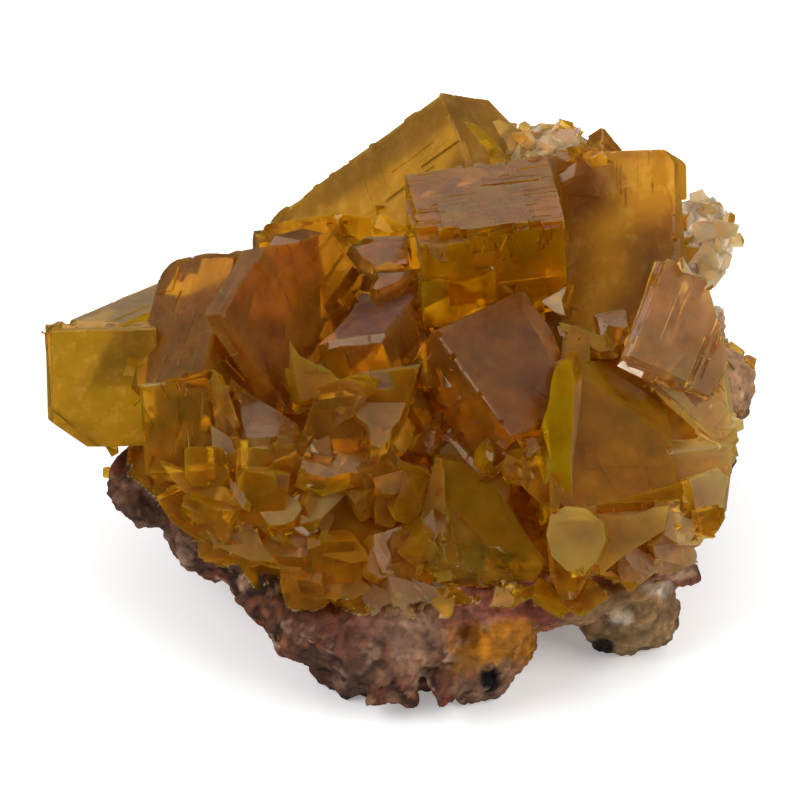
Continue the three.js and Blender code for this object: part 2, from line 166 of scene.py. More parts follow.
def add_camera():
    data = bpy.data.cameras.new("camera")
    data.sensor_width = 36
    data.lens = data.sensor_width * CAMERA_DISTANCE / FIELD
    data.clip_end = 10
    camera = new_object("camera", data)
    axes = Matrix((VIEW_RIGHT, VIEW_UP, VIEW_TOWARD)).transposed()
    camera.matrix_world = Matrix.Translation(VIEW_MIDDLE + CAMERA_DISTANCE * VIEW_TOWARD) @ axes.to_4x4()
    bpy.context.scene.camera = camera


def add_lamp(name, azimuth, elevation, distance, size, power):
    """Square softbox that looks at the middle of the part."""
    data = bpy.data.lights.new(name, "AREA")
    data.shape = "SQUARE"
    data.size = size
    data.energy = power
    lamp = new_object(name, data)
    a = math.radians(azimuth)
    e = math.radians(elevation)
    out = Vector((math.cos(e) * math.sin(a), -math.cos(e) * math.cos(a), math.sin(e)))
    lamp.location = out * distance + LAMP_TARGET
    lamp.rotation_euler = out.to_track_quat("Z", "Y").to_euler()


def set_world():
    """Dark studio in front and below, brighter above and behind."""
    world = bpy.data.worlds.new("studio")
    world.use_nodes = True
    tree = world.node_tree
    direction = node(tree, "ShaderNodeTexCoord")
    lean = node(tree, "ShaderNodeVectorMath", operation="DOT_PRODUCT")
    lean.inputs[1].default_value = SKY_SIDE
    tree.links.new(direction.outputs["Generated"], lean.inputs[0])
    smooth = "SMOOTHSTEP"
    strength = map_range(tree, lean.outputs["Value"], SKY_SPAN, SKY_STRENGTH, interpolation_type=smooth)
    background = tree.nodes["Background"]
    background.inputs["Color"].default_value = WHITE
    tree.links.new(strength, background.inputs["Strength"])
    bpy.context.scene.world = world


def add_floor():
    mesh = bpy.data.meshes.new("floor")
    corners = [(x * FLOOR_REACH, y * FLOOR_REACH, 0) for x, y in ((-1, -1), (1, -1), (1, 1), (-1, 1))]
    mesh.from_pydata(corners, [], [(0, 1, 2, 3)])
    floor = new_object("floor", mesh)
    material, _, shader, _ = new_material("floor")
    set_inputs(shader, {"Base Color": FLOOR_COLOUR, "Roughness": 0.9, "Specular IOR Level": 0,
                        "Emission Color": WHITE, "Emission Strength": FLOOR_GLOW})
    mesh.materials.append(material)
    floor.visible_glossy = False


# Tints of the crystals, and the two usual hazes of a face, which are its roughness

GOLD = (0.72, 0.38, 0.01)
HONEY = (0.64, 0.31, 0.01)
BROWN = (0.54, 0.25, 0.02)
# Brown of the crystals with a faint blue-grey cast of painted sheen, for faces that look up towards the back
# lamp
MAUVE = (0.54, 0.26, 0.05)
PALE = (0.86, 0.57, 0.16)
OLIVE = (0.62, 0.36, 0.04)
TAN = (0.60, 0.34, 0.07)
LEMON = (0.90, 0.54, 0.01)
# Blue-grey painted sheen: the colour of the reflection on the top of the middle crystal, put into its tint
PAINTED_SHEEN_SLATE = (0.55, 0.32, 0.24)
AMBER = (0.42, 0.24, 0.01)
RUST = (0.51, 0.24, 0.06)
CREAM = (1.0, 0.83, 0.62)
BUFF = (0.66, 0.44, 0.25)
COPPER = (0.58, 0.28, 0.01)
STRAW = (1.0, 0.72, 0.28)
CLEAR = 0.18
SATIN = 0.42

# Crystals of the front, laid out in the slanting front view, in millimetres: near corner, directions of the
# three edges in the view in degrees, their lengths, tint, haze, growth plates as (face across that edge, how
# many, lowest and highest plate), and other tints of single faces, which are painted light: a brighter face
# as painted glow, or a face tinted for its painted sheen

CRYSTALS = {
    "far_left": ((-34.9, 6.9, -3), (1.9, -88.5, 139), (10.5, 11.8, 9), AMBER, SATIN, [(2, 3, 0.05, 0.12)]),
    "far_left_back": ((-30.2, 6.6, -5), (24, 155, -90), (13, 4.2, 8), AMBER, SATIN, [(2, 2, 0.05, 0.15)]),
    "left_brown": ((-19.5, 2.8, 2.5), (192, 76, -46), (9.2, 15.6, 9), BROWN, CLEAR,
        [(2, 4, 0.06, 0.25), (1, 2, 0.05, 0.2)]),
    "left_main": ((-17.6, 8.6, 5), (60, -56, 187), (19, 13.8, 2.6), RUST, CLEAR, [(2, 6, 0.06, 0.35)]),
    "left_main_low": ((-10.0, -0.2, 3.4), (100, 8, -125), (6.5, 5.5, 6), GOLD, CLEAR, [(2, 4, 0.06, 0.3)]),
    "middle_sheen": ((-1.4, 6.4, 1), (187.5, 55.6, -70.5), (7.6, 8.4, 7), MAUVE, CLEAR,
        [(2, 3, 0.08, 0.3), (1, 2, 0.05, 0.15)]),
    "middle_ledge": ((0, 11.4, -2.5), (187.5, 55.6, -70.5), (3.4, 5.4, 5), MAUVE, CLEAR, [(2, 3, 0.1, 0.4)]),
    "middle_dark": ((0.8, 13.6, -6), (190, 97, -60), (5.6, 3, 8), MAUVE, CLEAR, [(2, 2, 0.06, 0.2)]),
    "middle_back": ((2.5, 15.5, -9), (160, 60, -80), (6, 6, 8), GOLD, CLEAR, []),
    "back_long": ((7.3, 22, -4), (216, 110, -8), (26, 10.3, 11), (0.48, 0.26, 0.02), SATIN,
        [(2, 5, 0.06, 0.3), (0, 2, 0.05, 0.2)]),
    # main_cube: its front face is painted brighter orange, a painted glow of light through the cube; its top
    # face has a redder tint, painted sheen
    "main_cube": ((2, 15.8, 3), (7.9, 103, -87.3), (14.7, 9.8, 12.4), HONEY, CLEAR,
        [(2, 7, 0.05, 0.3), (1, 5, 0.04, 0.16)], [(1, (0.98, 0.46, 0)), (2, (0.62, 0.27, 0.03))]),
    "tall_right": ((27.8, 5.5, -5), (91, 182.5, -40), (20, 13.6, 8), COPPER, SATIN, [(2, 7, 0.05, 0.25)]),
    "dark_tip": ((20.3, 25, -8), (88, 213, -50), (5.4, 5, 3.4), BROWN, CLEAR, []),
    "centre": ((11.2, -3.7, 6.5), (126.4, 24.7, 235), (13.7, 12.2, 7), (0.48, 0.20, 0.02), CLEAR,
        [(2, 4, 0.04, 0.12), (1, 2, 0.05, 0.15)]),
    "right_plate": ((22.6, 4.3, 2), (67, -26.6, 225), (11.7, 9.5, 3), (0.80, 0.45, 0.16), CLEAR,
        [(2, 10, 0.08, 0.35), (1, 4, 0.1, 0.3)]),
    "right_big": ((15.2, -11.2, 5), (4, 96, -125), (13, 15.5, 8), GOLD, CLEAR, [(2, 5, 0.04, 0.14)]),
    "right_pale": ((32.2, -4.2, 1), (142, 50, -95), (9.2, 8, 6), STRAW, SATIN, [(2, 5, 0.06, 0.25)]),
    "right_low": ((26.9, -5.2, 2), (8, -86, 135), (6.4, 8, 6), STRAW, SATIN, [(2, 3, 0.06, 0.2)]),
    "front_olive": ((4.5, -16, 6), (96, -20, 215), (13.5, 12, 3), OLIVE, CLEAR,
        [(2, 5, 0.06, 0.3), (1, 3, 0.06, 0.2)]),
    "left_orange": ((-18.5, -6.8, 1.5), (94, 184.5, -40), (9, 7, 6), GOLD, CLEAR, [(2, 4, 0.06, 0.25)]),
    "left_triangle": ((-15.2, -4.1, 4), (111.5, 5, -100), (9.9, 5.7, 9.3), MAUVE, CLEAR,
        [(2, 2, 0.04, 0.1)]),
}

# Broken facets of the front: the face of a crystal that the facet lies on, or else its lean to the right and
# up; its tint, how far it goes back and its outline in the view, in millimetres. lift: how far it stands out;
# clear: depth of the space that is cut away in front of a facet on a crystal; haze: its roughness.

FACETS = {
    # The bevels of the far left crystal take the mauve tint: partly painted sheen on an amber crystal
    "far_left_bevel": ((-0.9, 0.1), MAUVE, 1, [(-35.7, 7.1), (-34.6, 7.4), (-34.3, -1.2), (-35.1, -0.6)]),
    "far_left_top": ((0, 0.9), MAUVE, 0.8, [(-35.6, 7.3), (-34.3, 7.9), (-25.2, 7.8), (-25.4, 6.9),
        (-34.4, 6.8)]),
    "frost": ((-0.306, -0.297), PALE, 0.6, [(-2.8, -4), (-2, -2.5), (-0.8, -2), (-1.2, -3.5), (-2, -4.7)],
        dict(haze=0.1)),
    "left_main_side": (("left_main", 2), RUST, 3, [(-10, 16), (-7.5, 16.7), (-5.7, 16.3), (-4.8, 15.6),
        (-4.2, 13.8), (-3.8, 12.5), (-4, 10.8), (-4.9, 8.8), (-6.5, 7), (-8.4, 5.7), (-7.6, 3.8),
        (-6.2, 2.4), (-7.5, 0.8), (-9, 0.1), (-10.8, 0), (-11.5, 2), (-13, 4), (-13.8, 7), (-13, 11)],
        dict(lift=0.05)),
    "left_main_slab": (("left_main", 2), BROWN, 2, [(-11.5, 11), (-10, 11.2), (-7.2, 11.9), (-4.4, 12.2),
        (-3.9, 10.8), (-4.9, 8.8), (-6.5, 7), (-8.4, 5.7), (-10, 5.1), (-11, 5.5), (-11.5, 6.5), (-11.6, 8),
        (-10.7, 9.1)], dict(lift=0.3)),
    # middle_top: its blue-grey tint is painted sheen
    "middle_top": (("middle_sheen", 2), PAINTED_SHEEN_SLATE, 6, [(-8.2, 5.5), (-5.9, 5.9), (-1.4, 6.4), (1.4, 10.4),
        (1.2, 10.7), (-3.1, 10.6), (-4, 10.8), (-4.9, 8.8), (-6.5, 7)], dict(lift=0.2)),
    "middle_upper": ((0.15, 0.9), MAUVE, 2, [(-4.9, 15.9), (-3.2, 16.4), (0.7, 16.5), (0.9, 13.9),
        (-1, 13.8), (-2.3, 13.4), (-3.8, 14.4)]),
    "middle_step": ((-0.1, 0.9), MAUVE, 2, [(-2.5, 13.2), (-1, 13.8), (0.7, 14.2), (0.8, 13.4), (0, 12),
        (-0.8, 11.6), (-2.4, 11), (-3, 11.6)]),
    "triangle": ((0.2, 0.8), MAUVE, 3, [(-18.9, 3.4), (-17.8, 3.2), (-16.2, 1.5), (-13.8, -0.2), (-12, -1.2),
        (-10.3, -2.5), (-9.4, -3.3), (-10, -3.7), (-11.5, -3.6), (-13.8, -4), (-15.3, -4.5), (-16, -3),
        (-16.8, -1.2), (-17.8, 0.8)]),
    "middle_tan": ((0.1, 0.7), TAN, 3, [(-5.5, 2.2), (-4, 2.7), (2, 3.6), (1.8, 3), (0.5, -0.5), (-0.1, -2),
        (-0.8, -2.8), (-1.2, -4), (-2, -4.8), (-2.8, -4.5), (-3.2, -2.5), (-4.3, -1.7), (-4.8, -1),
        (-4.2, 0.5), (-3.8, 1.5)]),
    "middle_tan_left": ((-0.6, -0.1), BROWN, 3, [(-5.5, 2.2), (-3.8, 1.5), (-4.2, 0.5), (-5, -1.8), (-7, -3),
        (-8.2, -4.5), (-8.8, -3), (-8.5, -0.5), (-7, 1)]),
    "middle_tan_right": ((0.7, 0.2), LEMON, 3, [(0.6, -0.4), (1.9, 3.2), (2.8, 1.5), (2.5, -2), (1.5, -4),
        (0.3, -5.5), (-0.8, -4.2), (-0.1, -2)]),
    "smear": ((0.1, 0.8), TAN, 2.5, [(-8.2, -4.5), (-6, -3.2), (-4.8, -3.8), (-4.4, -4.8), (-3.6, -6),
        (-2.8, -7.5), (-5, -7.2), (-7.5, -7.8), (-10, -7), (-9.5, -5.2)]),
    "left_sliver": ((-0.5, 0.2), TAN, 2.5, [(-18.9, -2.5), (-17.8, -3.2), (-16.8, -4), (-16, -6.5),
        (-16.2, -8), (-15.3, -10), (-15.7, -10.8), (-16.8, -9), (-17.8, -7), (-18.7, -5)], dict(haze=0.5)),
    "gold_left": ((0.4, -0.1), GOLD, 2.5, [(-15.9, -4), (-13.8, -4), (-11.5, -3.7), (-10, -4), (-10.4, -5.5),
        (-12.5, -6.2), (-13.8, -7.5), (-14.2, -9), (-15.3, -10.5), (-15.8, -8)]),
    "gold_low": ((0, -0.2), HONEY, 2, [(-13.8, -7.5), (-12.5, -6.2), (-10.4, -5.5), (-8, -7.8), (-10, -8.2),
        (-11.7, -9.2), (-13.2, -8.7)]),
    "crumbly": ((-0.1, 0.5), PALE, 2, [(-14.2, -10), (-13.8, -9), (-12.8, -8.7), (-11.7, -9.2), (-10.2, -10),
        (-9.8, -10.8), (-10.6, -12), (-11.5, -12.4), (-13, -12.5), (-14, -11.2)]),
    "yellow_band": ((0, -0.4), LEMON, 2, [(-14.4, -12.6), (-10, -12.4), (-7.8, -11.9), (-8.5, -13.1),
        (-10, -13.5), (-13, -13.7)]),
    "lens": ((0, 0.8), MAUVE, 2, [(-14.2, -14.1), (-12.8, -13.6), (-10, -13.6), (-8.2, -14), (-8.3, -15),
        (-9.7, -15.7), (-11.5, -15.6), (-13.2, -15.3)]),
    "low_a": ((0.2, 0.3), PALE, 2.5, [(-9.8, -10.8), (-8, -7.8), (-5.5, -8), (-3.8, -8.6), (-5.5, -9.5),
        (-7, -11), (-8, -11.9), (-10, -12.4)]),
    "low_b": ((0.1, -0.2), HONEY, 3, [(-5.5, -9.5), (-3.8, -8.6), (-2.5, -10.5), (-2.2, -12), (-4, -14.5),
        (-6, -14), (-7.8, -12.8), (-7, -11)]),
    "low_c": ((0, 0.1), GOLD, 2.5, [(-7.8, -13), (-6, -14), (-3.8, -14.5), (-2.8, -16), (-5, -16.2),
        (-7.5, -15.6), (-8.4, -14.5)]),
    "low_d": ((0.3, 0.2), TAN, 2, [(-3.2, -16), (-2.5, -14), (-1.5, -13.8), (-1.2, -16), (-0.5, -17.5),
        (-2, -17.8), (-3.2, -17)]),
    "low_e": ((0.1, 0.1), BROWN, 2.5, [(-1, -14), (0.2, -12.8), (1.8, -13.5), (2.4, -15.8), (2.8, -17.2),
        (1.2, -17.8), (-0.4, -17.2)]),
    "left_a": ((-0.2, 0.1), OLIVE, 2.5, [(-20, -12), (-16.8, -10.8), (-15, -12), (-13.8, -14.5),
        (-12.5, -16), (-14.8, -16), (-16.8, -15.2), (-18.5, -14.5)]),
    "left_b": ((0, -0.1), TAN, 2.5, [(-13.8, -14.5), (-12.5, -15.2), (-10, -16.2), (-7.8, -16.6), (-5, -17),
        (-2.8, -18.8), (-4.8, -20), (-7, -19), (-10, -17.8), (-12.2, -16.6)]),
    "left_c": ((-0.1, -0.2), HONEY, 2, [(-16.8, -15.2), (-14.8, -16), (-12.2, -16.6), (-11, -18),
        (-12.8, -19.4), (-14.4, -19), (-15.5, -17.5)]),
    "left_d": ((-0.25, 0), GOLD, 2.5, [(-22, -7), (-19.5, -7.8), (-16.8, -9), (-15.7, -10.8), (-17.5, -11.2),
        (-20, -10.5), (-21.8, -9), (-24, -6.2)]),
    "left_e": ((-0.1, -0.1), BROWN, 2, [(-24.2, -10), (-21.8, -9), (-20, -10.5), (-17.5, -11.2), (-20, -12),
        (-18.5, -14.5), (-21, -13.5), (-23, -12)]),
    "centre_a": ((0.2, 0.2), TAN, 2.5, [(-2.8, -7.5), (-3.6, -6), (-2.8, -4.8), (-1.2, -4.8), (0, -5.8),
        (0.5, -8), (-0.5, -9.5), (-2.2, -9.2)]),
    "centre_b": ((0.3, -0.1), HONEY, 2.5, [(-2.2, -9.2), (-0.5, -9.5), (0.8, -8), (0.2, -11), (-0.8, -12.8),
        (-2, -12.5), (-2.5, -10.5)]),
    "olive_top": ((0.3, 0.7), PALE, 3, [(3.6, -5.2), (5, -4.2), (7, -4), (8, -4.1), (10, -6), (11.2, -8.5),
        (10.5, -10), (8.5, -7.8), (6, -6.2), (3.8, -5.9)]),
    "olive_main": ((0.15, -0.1), (0.84, 0.50, 0.02), 3, [(3.8, -6), (6, -6.2), (8.5, -7.8), (10.5, -10),
        (13, -14), (14.5, -16.2), (13, -19), (10, -20), (7, -20), (5, -18.5), (4.6, -14.5), (4.2, -12),
        (4, -9)]),
    "olive_yellow": ((-0.25, -0.2), LEMON, 2.5, [(1.8, -12.7), (3.6, -14.5), (4.8, -16), (5.2, -18),
        (3.6, -18.2), (3, -16.7), (2.4, -14.8)]),
    "olive_left": ((-0.25, 0.1), TAN, 2.5, [(4, -10), (4.6, -12), (4, -13), (3.2, -14.5), (1.8, -12.7),
        (3, -11.2)]),
    "right_yellow": ((-0.2, -0.1), (1.0, 0.62, 0), 3, [(16.2, 3.9), (17, 3.8), (17.4, 2), (17.2, -2),
        (17, -6), (17.2, -10), (16, -11.5), (14.7, -12.3), (14.5, -10.5), (12.8, -9), (12, -8.2),
        (12.6, -6.2), (14.2, -5), (14.1, -2.5), (14.8, -0.5), (15.1, 2), (15.4, 3)]),
    "right_foot": ((0, -0.2), (0.95, 0.62, 0.16), 2.5, [(20, -11), (24, -10.8), (26.8, -10.6), (26.4, -13),
        (24, -14.5), (21.8, -16), (20, -17.5), (19.8, -16), (20.6, -14.5), (20, -12.2)],
        dict(lift=0.8, haze=SATIN)),
    "right_corner": ((0.3, 0), STRAW, 2.5, [(26.8, -10), (29, -8), (32, -7), (32.8, -8), (32.2, -10.5),
        (31.2, -12.5), (30, -14.5), (28, -14.5), (26.4, -13.5)], dict(lift=0.4, haze=SATIN)),
    "pale_lump": ((-0.1, 0), (0.95, 0.66, 0.16), 3.5, [(15, -11.5), (16.5, -10.6), (18.5, -10.8),
        (20.3, -12.2), (20.5, -14), (19.6, -16), (18.2, -17.5), (16.6, -17), (15.2, -15.6), (14.6, -13.5)],
        dict(lift=1.0, haze=SATIN)),
    "right_strip": ((0.3, 0.3), HONEY, 2.5, [(21.7, 3.2), (24.1, 2.2), (26, 0.8), (29, -2), (30, -4),
        (27.2, -4), (24, -0.5), (21.8, 2)]),
    "tall_face": (("tall_right", 2), COPPER, 3, [(17.5, 19.2), (20, 20.8), (26.4, 22), (27.2, 20),
        (27.5, 14.5), (26.4, 14.2), (25, 11), (23.2, 7), (22.2, 5), (20, 5.2), (18, 6.5), (16.3, 7.8),
        (16.5, 11), (16.8, 12.5), (17, 16)], dict(haze=0.8, clear=3, lift=0.1)),
    "tall_plate": (("tall_right", 2), BROWN, 1, [(15.8, 25), (18, 25.8), (19.2, 25), (19.5, 21.2), (20, 21),
        (20, 20.4), (17, 20.8), (16.5, 19.4), (15.6, 20)], dict(clear=0.5, lift=0.4)),
    "lump": ((-0.4, 0.2), PALE, 2, [(14, 11), (14.5, 11.9), (16.2, 11.9), (16.8, 11.7), (16.2, 10),
        (16.5, 8.5), (15.5, 8.8), (14.3, 9.8)]),
    "tall_foot": ((0, 0.3), LEMON, 2, [(16, 7.8), (18, 7.2), (20, 6.5), (22.2, 6.7), (22, 5), (20, 4.8),
        (18, 6), (16.2, 7)]),
    "back_yellow": ((0.2, 0.1), LEMON, 2, [(7.2, 24.5), (8, 26), (8.7, 26.2), (9.7, 25.2), (9.7, 24.4)]),
    "back_end": ((0.3, 0.4), PALE, 2.5, [(8.7, 27.8), (10, 28.2), (11.4, 27.6), (12, 27.2), (12.2, 25),
        (10, 24.8), (8.7, 26)]),
    "back_crust": ((0.1, 0.5), PALE, 2.5, [(12, 27.2), (14.5, 27.7), (16, 27.8), (17.5, 27.6), (18.5, 27),
        (17, 26), (15, 25), (12.2, 24.8)]),
    "glint_corner": ((-0.306, -0.297), PALE, 0.8, [(21.7, 3.4), (22.6, 4.3), (24.6, 3.3), (24.1, 2.2)],
        dict(haze=0.08)),
    # A cream strip along the left edge of the right plate: painted highlight
    "plate_painted_highlight": (("right_plate", 2), CREAM, 0.6, [(22.4, 4.7), (23, 4.4), (24.1, 7), (25, 10), (26.2, 13.6),
        (25.6, 13.8), (24.4, 10.2), (23.4, 7.3)], dict(clear=0.5, lift=0.1)),
    "cube_chip": (("main_cube", 1), PALE, 1, [(2.7, 15.5), (3.8, 15.6), (4.6, 16), (4.8, 13.8), (4, 13.8),
        (3.2, 14.4)], dict(clear=0.3, lift=0.2)),
    # cube_glow: its bright orange tint is painted glow of light shining through the cube
    "cube_glow": (("main_cube", 1), (1.0, 0.6, 0.0), 1, [(2.2, 11.8), (4, 12.2), (6.2, 11.7), (8, 9.5),
        (6.2, 8.2), (4.5, 7.4), (2.4, 7.4)], dict(clear=0.3, lift=0.02, haze=0.4)),
}

# Fields of broken pieces on the front: outline in the view, spacing, lowest and highest size, in millimetres;
# then how flat they lie towards the viewer, how deep they sit, and their tint where it is not mixed

CHIP_FIELDS = [
    ([(-17, -7), (-10, -7), (-3, -4), (1.5, -9), (2, -15), (-3, -17), (-12, -16), (-17, -13), (-22, -10)],
     4.8, 4.8, 8, 0.9, 0.32, None),
    ([(-18, -14.5), (-12, -17), (-3, -17.5), (4, -17), (4.5, -19.5), (-5, -20), (-13, -18.5), (-19, -16)],
     1.6, 0.8, 2.6, 0.4, 0.2, None),
    ([(-31, -4.5), (-28, -3), (-24, -5), (-21, -8.5), (-17, -13.5), (-13, -17.5), (-17, -18), (-22.5, -14.5),
     (-25, -11), (-29, -10), (-31.5, -7)], 2.2, 1.8, 3.6, 0.7, 0.22, None),
    ([(-17, -6), (-10, -7), (-3, -5), (1.5, -9), (3, -16), (3, -18), (-5, -18), (-17, -14), (-22, -9)], 4.2,
     1.0, 2.4, 0.6, 0.3, None),
    ([(5, -19), (14, -17), (22, -16), (30, -10), (31, -13), (24, -18), (14, -21), (6, -23)], 1.6, 0.8, 2.2,
     0.3, 0.1, None),
    ([(22, -16.5), (29, -13.5), (31, -15.5), (28, -17.5), (22, -18.5)], 1.2, 0.8, 2.2, 0.3, 0.05, BUFF),
    ([(-4, -18.5), (4, -18), (3.5, -20), (1, -22), (-3, -21.5)], 1.2, 1.0, 2.4, 0.3, 0.0, BUFF),
    ([(3, 4), (6, 3.5), (9, -4), (12, -4), (13, -9), (8, -6), (3, -6), (0, -5)], 1.6, 0.8, 2.4, 0.2, 0.15,
     None),
    ([(31, 0), (34.5, -1), (34, -5), (33, -8), (31, -7.5), (31.5, -4)], 1.1, 0.6, 1.7, 0.2, 0.1, PALE),
    ([(26.5, -1), (31, 2), (34, -1), (34, -5), (32.5, -9), (29, -9), (27, -5)], 2, 1.6, 3.8, 0.75, 0.3,
     PALE),
    ([(14, 12), (17, 9), (22, 7), (22, 4.5), (18, 4.5), (13.5, 9)], 1.5, 0.6, 2.0, 0.5, 0.2, None),
    ([(-12, 0), (-9, -1), (-7, -5), (-11, -8), (-14, -6)], 1.5, 0.6, 2.0, 0.3, 0.15, None),
    ([(8.5, 28), (13, 28), (13, 24), (9, 25)], 1.4, 1.4, 3.2, 0.2, 0.1, PALE),
    ([(12, 28), (18.8, 27.5), (18, 24.5), (12, 24)], 1.3, 1.6, 3.4, 0.2, -0.05, CREAM),
    ([(28.6, 21.5), (31, 20.5), (33, 19), (33.6, 16), (33, 12.5), (30.5, 11), (28.4, 12)], 1.4, 2.2, 4.6,
     0.1, -0.12, CREAM),
    ([(30.5, 9), (32.5, 8), (35, 5), (35.3, 1), (33, -2), (31, 2), (30.5, 5)], 2.2, 1.2, 3, 0.3, 0.15, TAN),
]

# Traced facets and crystals: probes across an outline, how much wider the back of a facet is than its front,
# how deep the space before it is cut away, how far a point may lie off a surface and still belong to it, all
# in millimetres, and how closely a face has to look the same way to get the tint of that side

PROBES = 12
FACET_FLARE = 1.1
FACET_CLEAR = 12
FACET_ABOVE = 0.1
CRYSTAL_ABOVE = 0.6
CRYSTAL_BEYOND = 0.1
SAME_WAY = 0.9

# Wear of the crystals, in millimetres. Parts of an edge, of a size or of a depth have no unit.

PLATE_LENGTH = (0.25, 0.8)
PLATE_START = (0.05, 0.6)
PLATE_OVERHANG = 0.05
PLATE_DEPTH = 0.4
PLATE_CLEARANCE = 0.02
BURIED = 0.4
CHAMFER_LENGTH = (1.0, 5.0)
CHAMFER_DEPTH = (0.02, 0.09)
CHAMFER_LEAN = 0.012
CHAMFER_OVERHANG = 0.2
CHAMFER_OVERLAP = 0.1
CHAMFER_TOOL = (1.2, 1.0)
NICK_SPACING = 2.2
NICK_SIZE = (0.15, 0.7)
NICK_WIDTH = (0.5, 1)
NICK_DEPTH = (0.5, 2)
BREAK_SHORTEST = 0.05
BREAK_SHARPNESS = -0.25
BREAK_SLIGHT = (0.05, 0.2)
BREAK_DEEP = (0.15, 0.9)
BREAK_LIMIT = 0.45
BREAK_LEAN = 0.45
BREAK_TOOL = (3.4, 2.5)
SCORE_TWIST = 0.5
CRYSTAL_SEED = 5
CRUMB_WIDTH = (0.6, 1.2)
CRUMB_HEIGHT = (0.4, 0.8)
CRUMB_RADIUS = (0.8, 1)
CHIP_POINTS = 8
CHIP_LEAN = 1.05
CHIP_PATCH = 3.5
CHIP_TINTS = (GOLD, HONEY, BROWN, BROWN, HONEY)
CRUST_HAZE = 0.5


def cube_edges(degrees):
    """Three edges at right angles to each other, in the view, from the directions in which it shows them."""
    a, b, c = (math.radians(value) for value in degrees)
    ab, ac, bc = -math.cos(a - b), -math.cos(a - c), -math.cos(b - c)
    recede = (math.sqrt(ab * ac / bc), math.sqrt(ab * bc / ac), math.sqrt(ac * bc / ab))
    axes = []
    for angle, depth in zip((a, b, c), recede):
        shown = 1 / math.hypot(1, depth)
        right, up, toward = shown * math.cos(angle), shown * math.sin(angle), -depth * shown
        axes.append(right * VIEW_RIGHT + up * VIEW_UP + toward * VIEW_TOWARD)
    return axes


def view_basis(right_slope, up_slope):
    """Three axes at right angles, the third one out of a plane that slopes in the view."""
    normal = (right_slope * VIEW_RIGHT + up_slope * VIEW_UP + VIEW_TOWARD).normalized()
    first = (VIEW_RIGHT - VIEW_RIGHT.dot(normal) * normal).normalized()
    return first, normal.cross(first), normal


def is_inside(x, y, outline):
    inside = False
    for (x1, y1), (x2, y2) in zip(outline, outline[1:] + outline[:1]):
        if (y1 > y) != (y2 > y) and x < x1 + (x2 - x1) * (y - y1) / (y2 - y1):
            inside = not inside
    return inside


def surface_at(tree, x, y, outline):
    """Nearest surface at a place of the view, if the place lies in the outline."""
    if not is_inside(x, y, outline):
        return None
    return tree.ray_cast(from_view(x, y, RAY_START), -VIEW_TOWARD)[0]


def reach_of(outline):
    """Least and greatest place of an outline, to the right and up."""
    xs = [x for x, _ in outline]
    ys = [y for _, y in outline]
    return min(xs), max(xs), min(ys), max(ys)


class Facet:
    """A flat piece with a traced outline, laid on what is behind it."""

    def __init__(self, crystals, tree, lie, tint, thick, outline, more=()):
        more = dict(more)
        self.outline = outline
        self.tint = tint
        self.haze = more.get("haze", CLEAR)
        self.thick = thick * MM
        self.clear = more.get("clear", FACET_CLEAR) * MM
        crystal = next((item for item in crystals if item.name == lie[0]), None)
        self.clears = crystal is not None
        if crystal:
            face = lie[1]
            self.axes = (crystal.axes[face - 2], crystal.axes[face - 1], -crystal.axes[face])
            self.origin = crystal.origin
        else:
            self.axes = view_basis(*lie)
            self.origin = self.resting_place(tree)
        self.origin = self.origin + more.get("lift", 0) * MM * self.axes[2]
        self.to_local = Matrix(self.axes)

    def resting_place(self, tree):
        """The middle of the outline, at the median depth of what is behind it."""
        count = len(self.outline)
        across = sum(x for x, _ in self.outline) / count
        along = sum(y for _, y in self.outline) / count
        middle = from_view(across, along, 0)
        left, right, low, high = reach_of(self.outline)
        rises = []
        for i in range(PROBES):
            for j in range(PROBES):
                x = left + (i + 0.5) / PROBES * (right - left)
                y = low + (j + 0.5) / PROBES * (high - low)
                hit = surface_at(tree, x, y, self.outline)
                if hit is not None:
                    rises.append((hit - middle).dot(self.axes[2]))
        rises.sort()
        return middle + rises[len(rises) // 2] * self.axes[2]

    def corner(self, x, y):
        start = from_view(x, y, 0)
        return start + (self.origin - start).dot(self.axes[2]) / VIEW_TOWARD.dot(self.axes[2]) * VIEW_TOWARD

    def local(self, point):
        return self.to_local @ (point - self.origin)

    def holds(self, point):
        right, up = place_in_view(point)
        depth = self.local(point).z
        return -0.5 * self.thick < depth < FACET_ABOVE * MM and is_inside(right, up, self.outline)

    def tint_of(self, normal):
        return self.tint

    def clearing(self):
        """Space in front of the piece."""
        return self.prism(self.clear, 0, 1.0)

    def mesh(self):
        return self.prism(0, -self.thick, FACET_FLARE)

    def prism(self, top, bottom, flare):
        bm = bmesh.new()
        corners = [self.corner(x, y) for x, y in self.outline]
        middle = sum(corners, Vector()) / len(corners)
        front = [bm.verts.new(corner + top * self.axes[2]) for corner in corners]
        wider = [middle + flare * (corner - middle) for corner in corners]
        back = [bm.verts.new(corner + bottom * self.axes[2]) for corner in wider]
        bm.faces.new(front)
        bm.faces.new(back[::-1])
        for i in range(len(front)):
            bm.faces.new((front[i], back[i], back[(i + 1) % len(back)], front[(i + 1) % len(front)]))
        bmesh.ops.triangulate(bm, faces=bm.faces[:])
        bmesh.ops.recalc_face_normals(bm, faces=bm.faces)
        return mesh_from(bm, "facet")


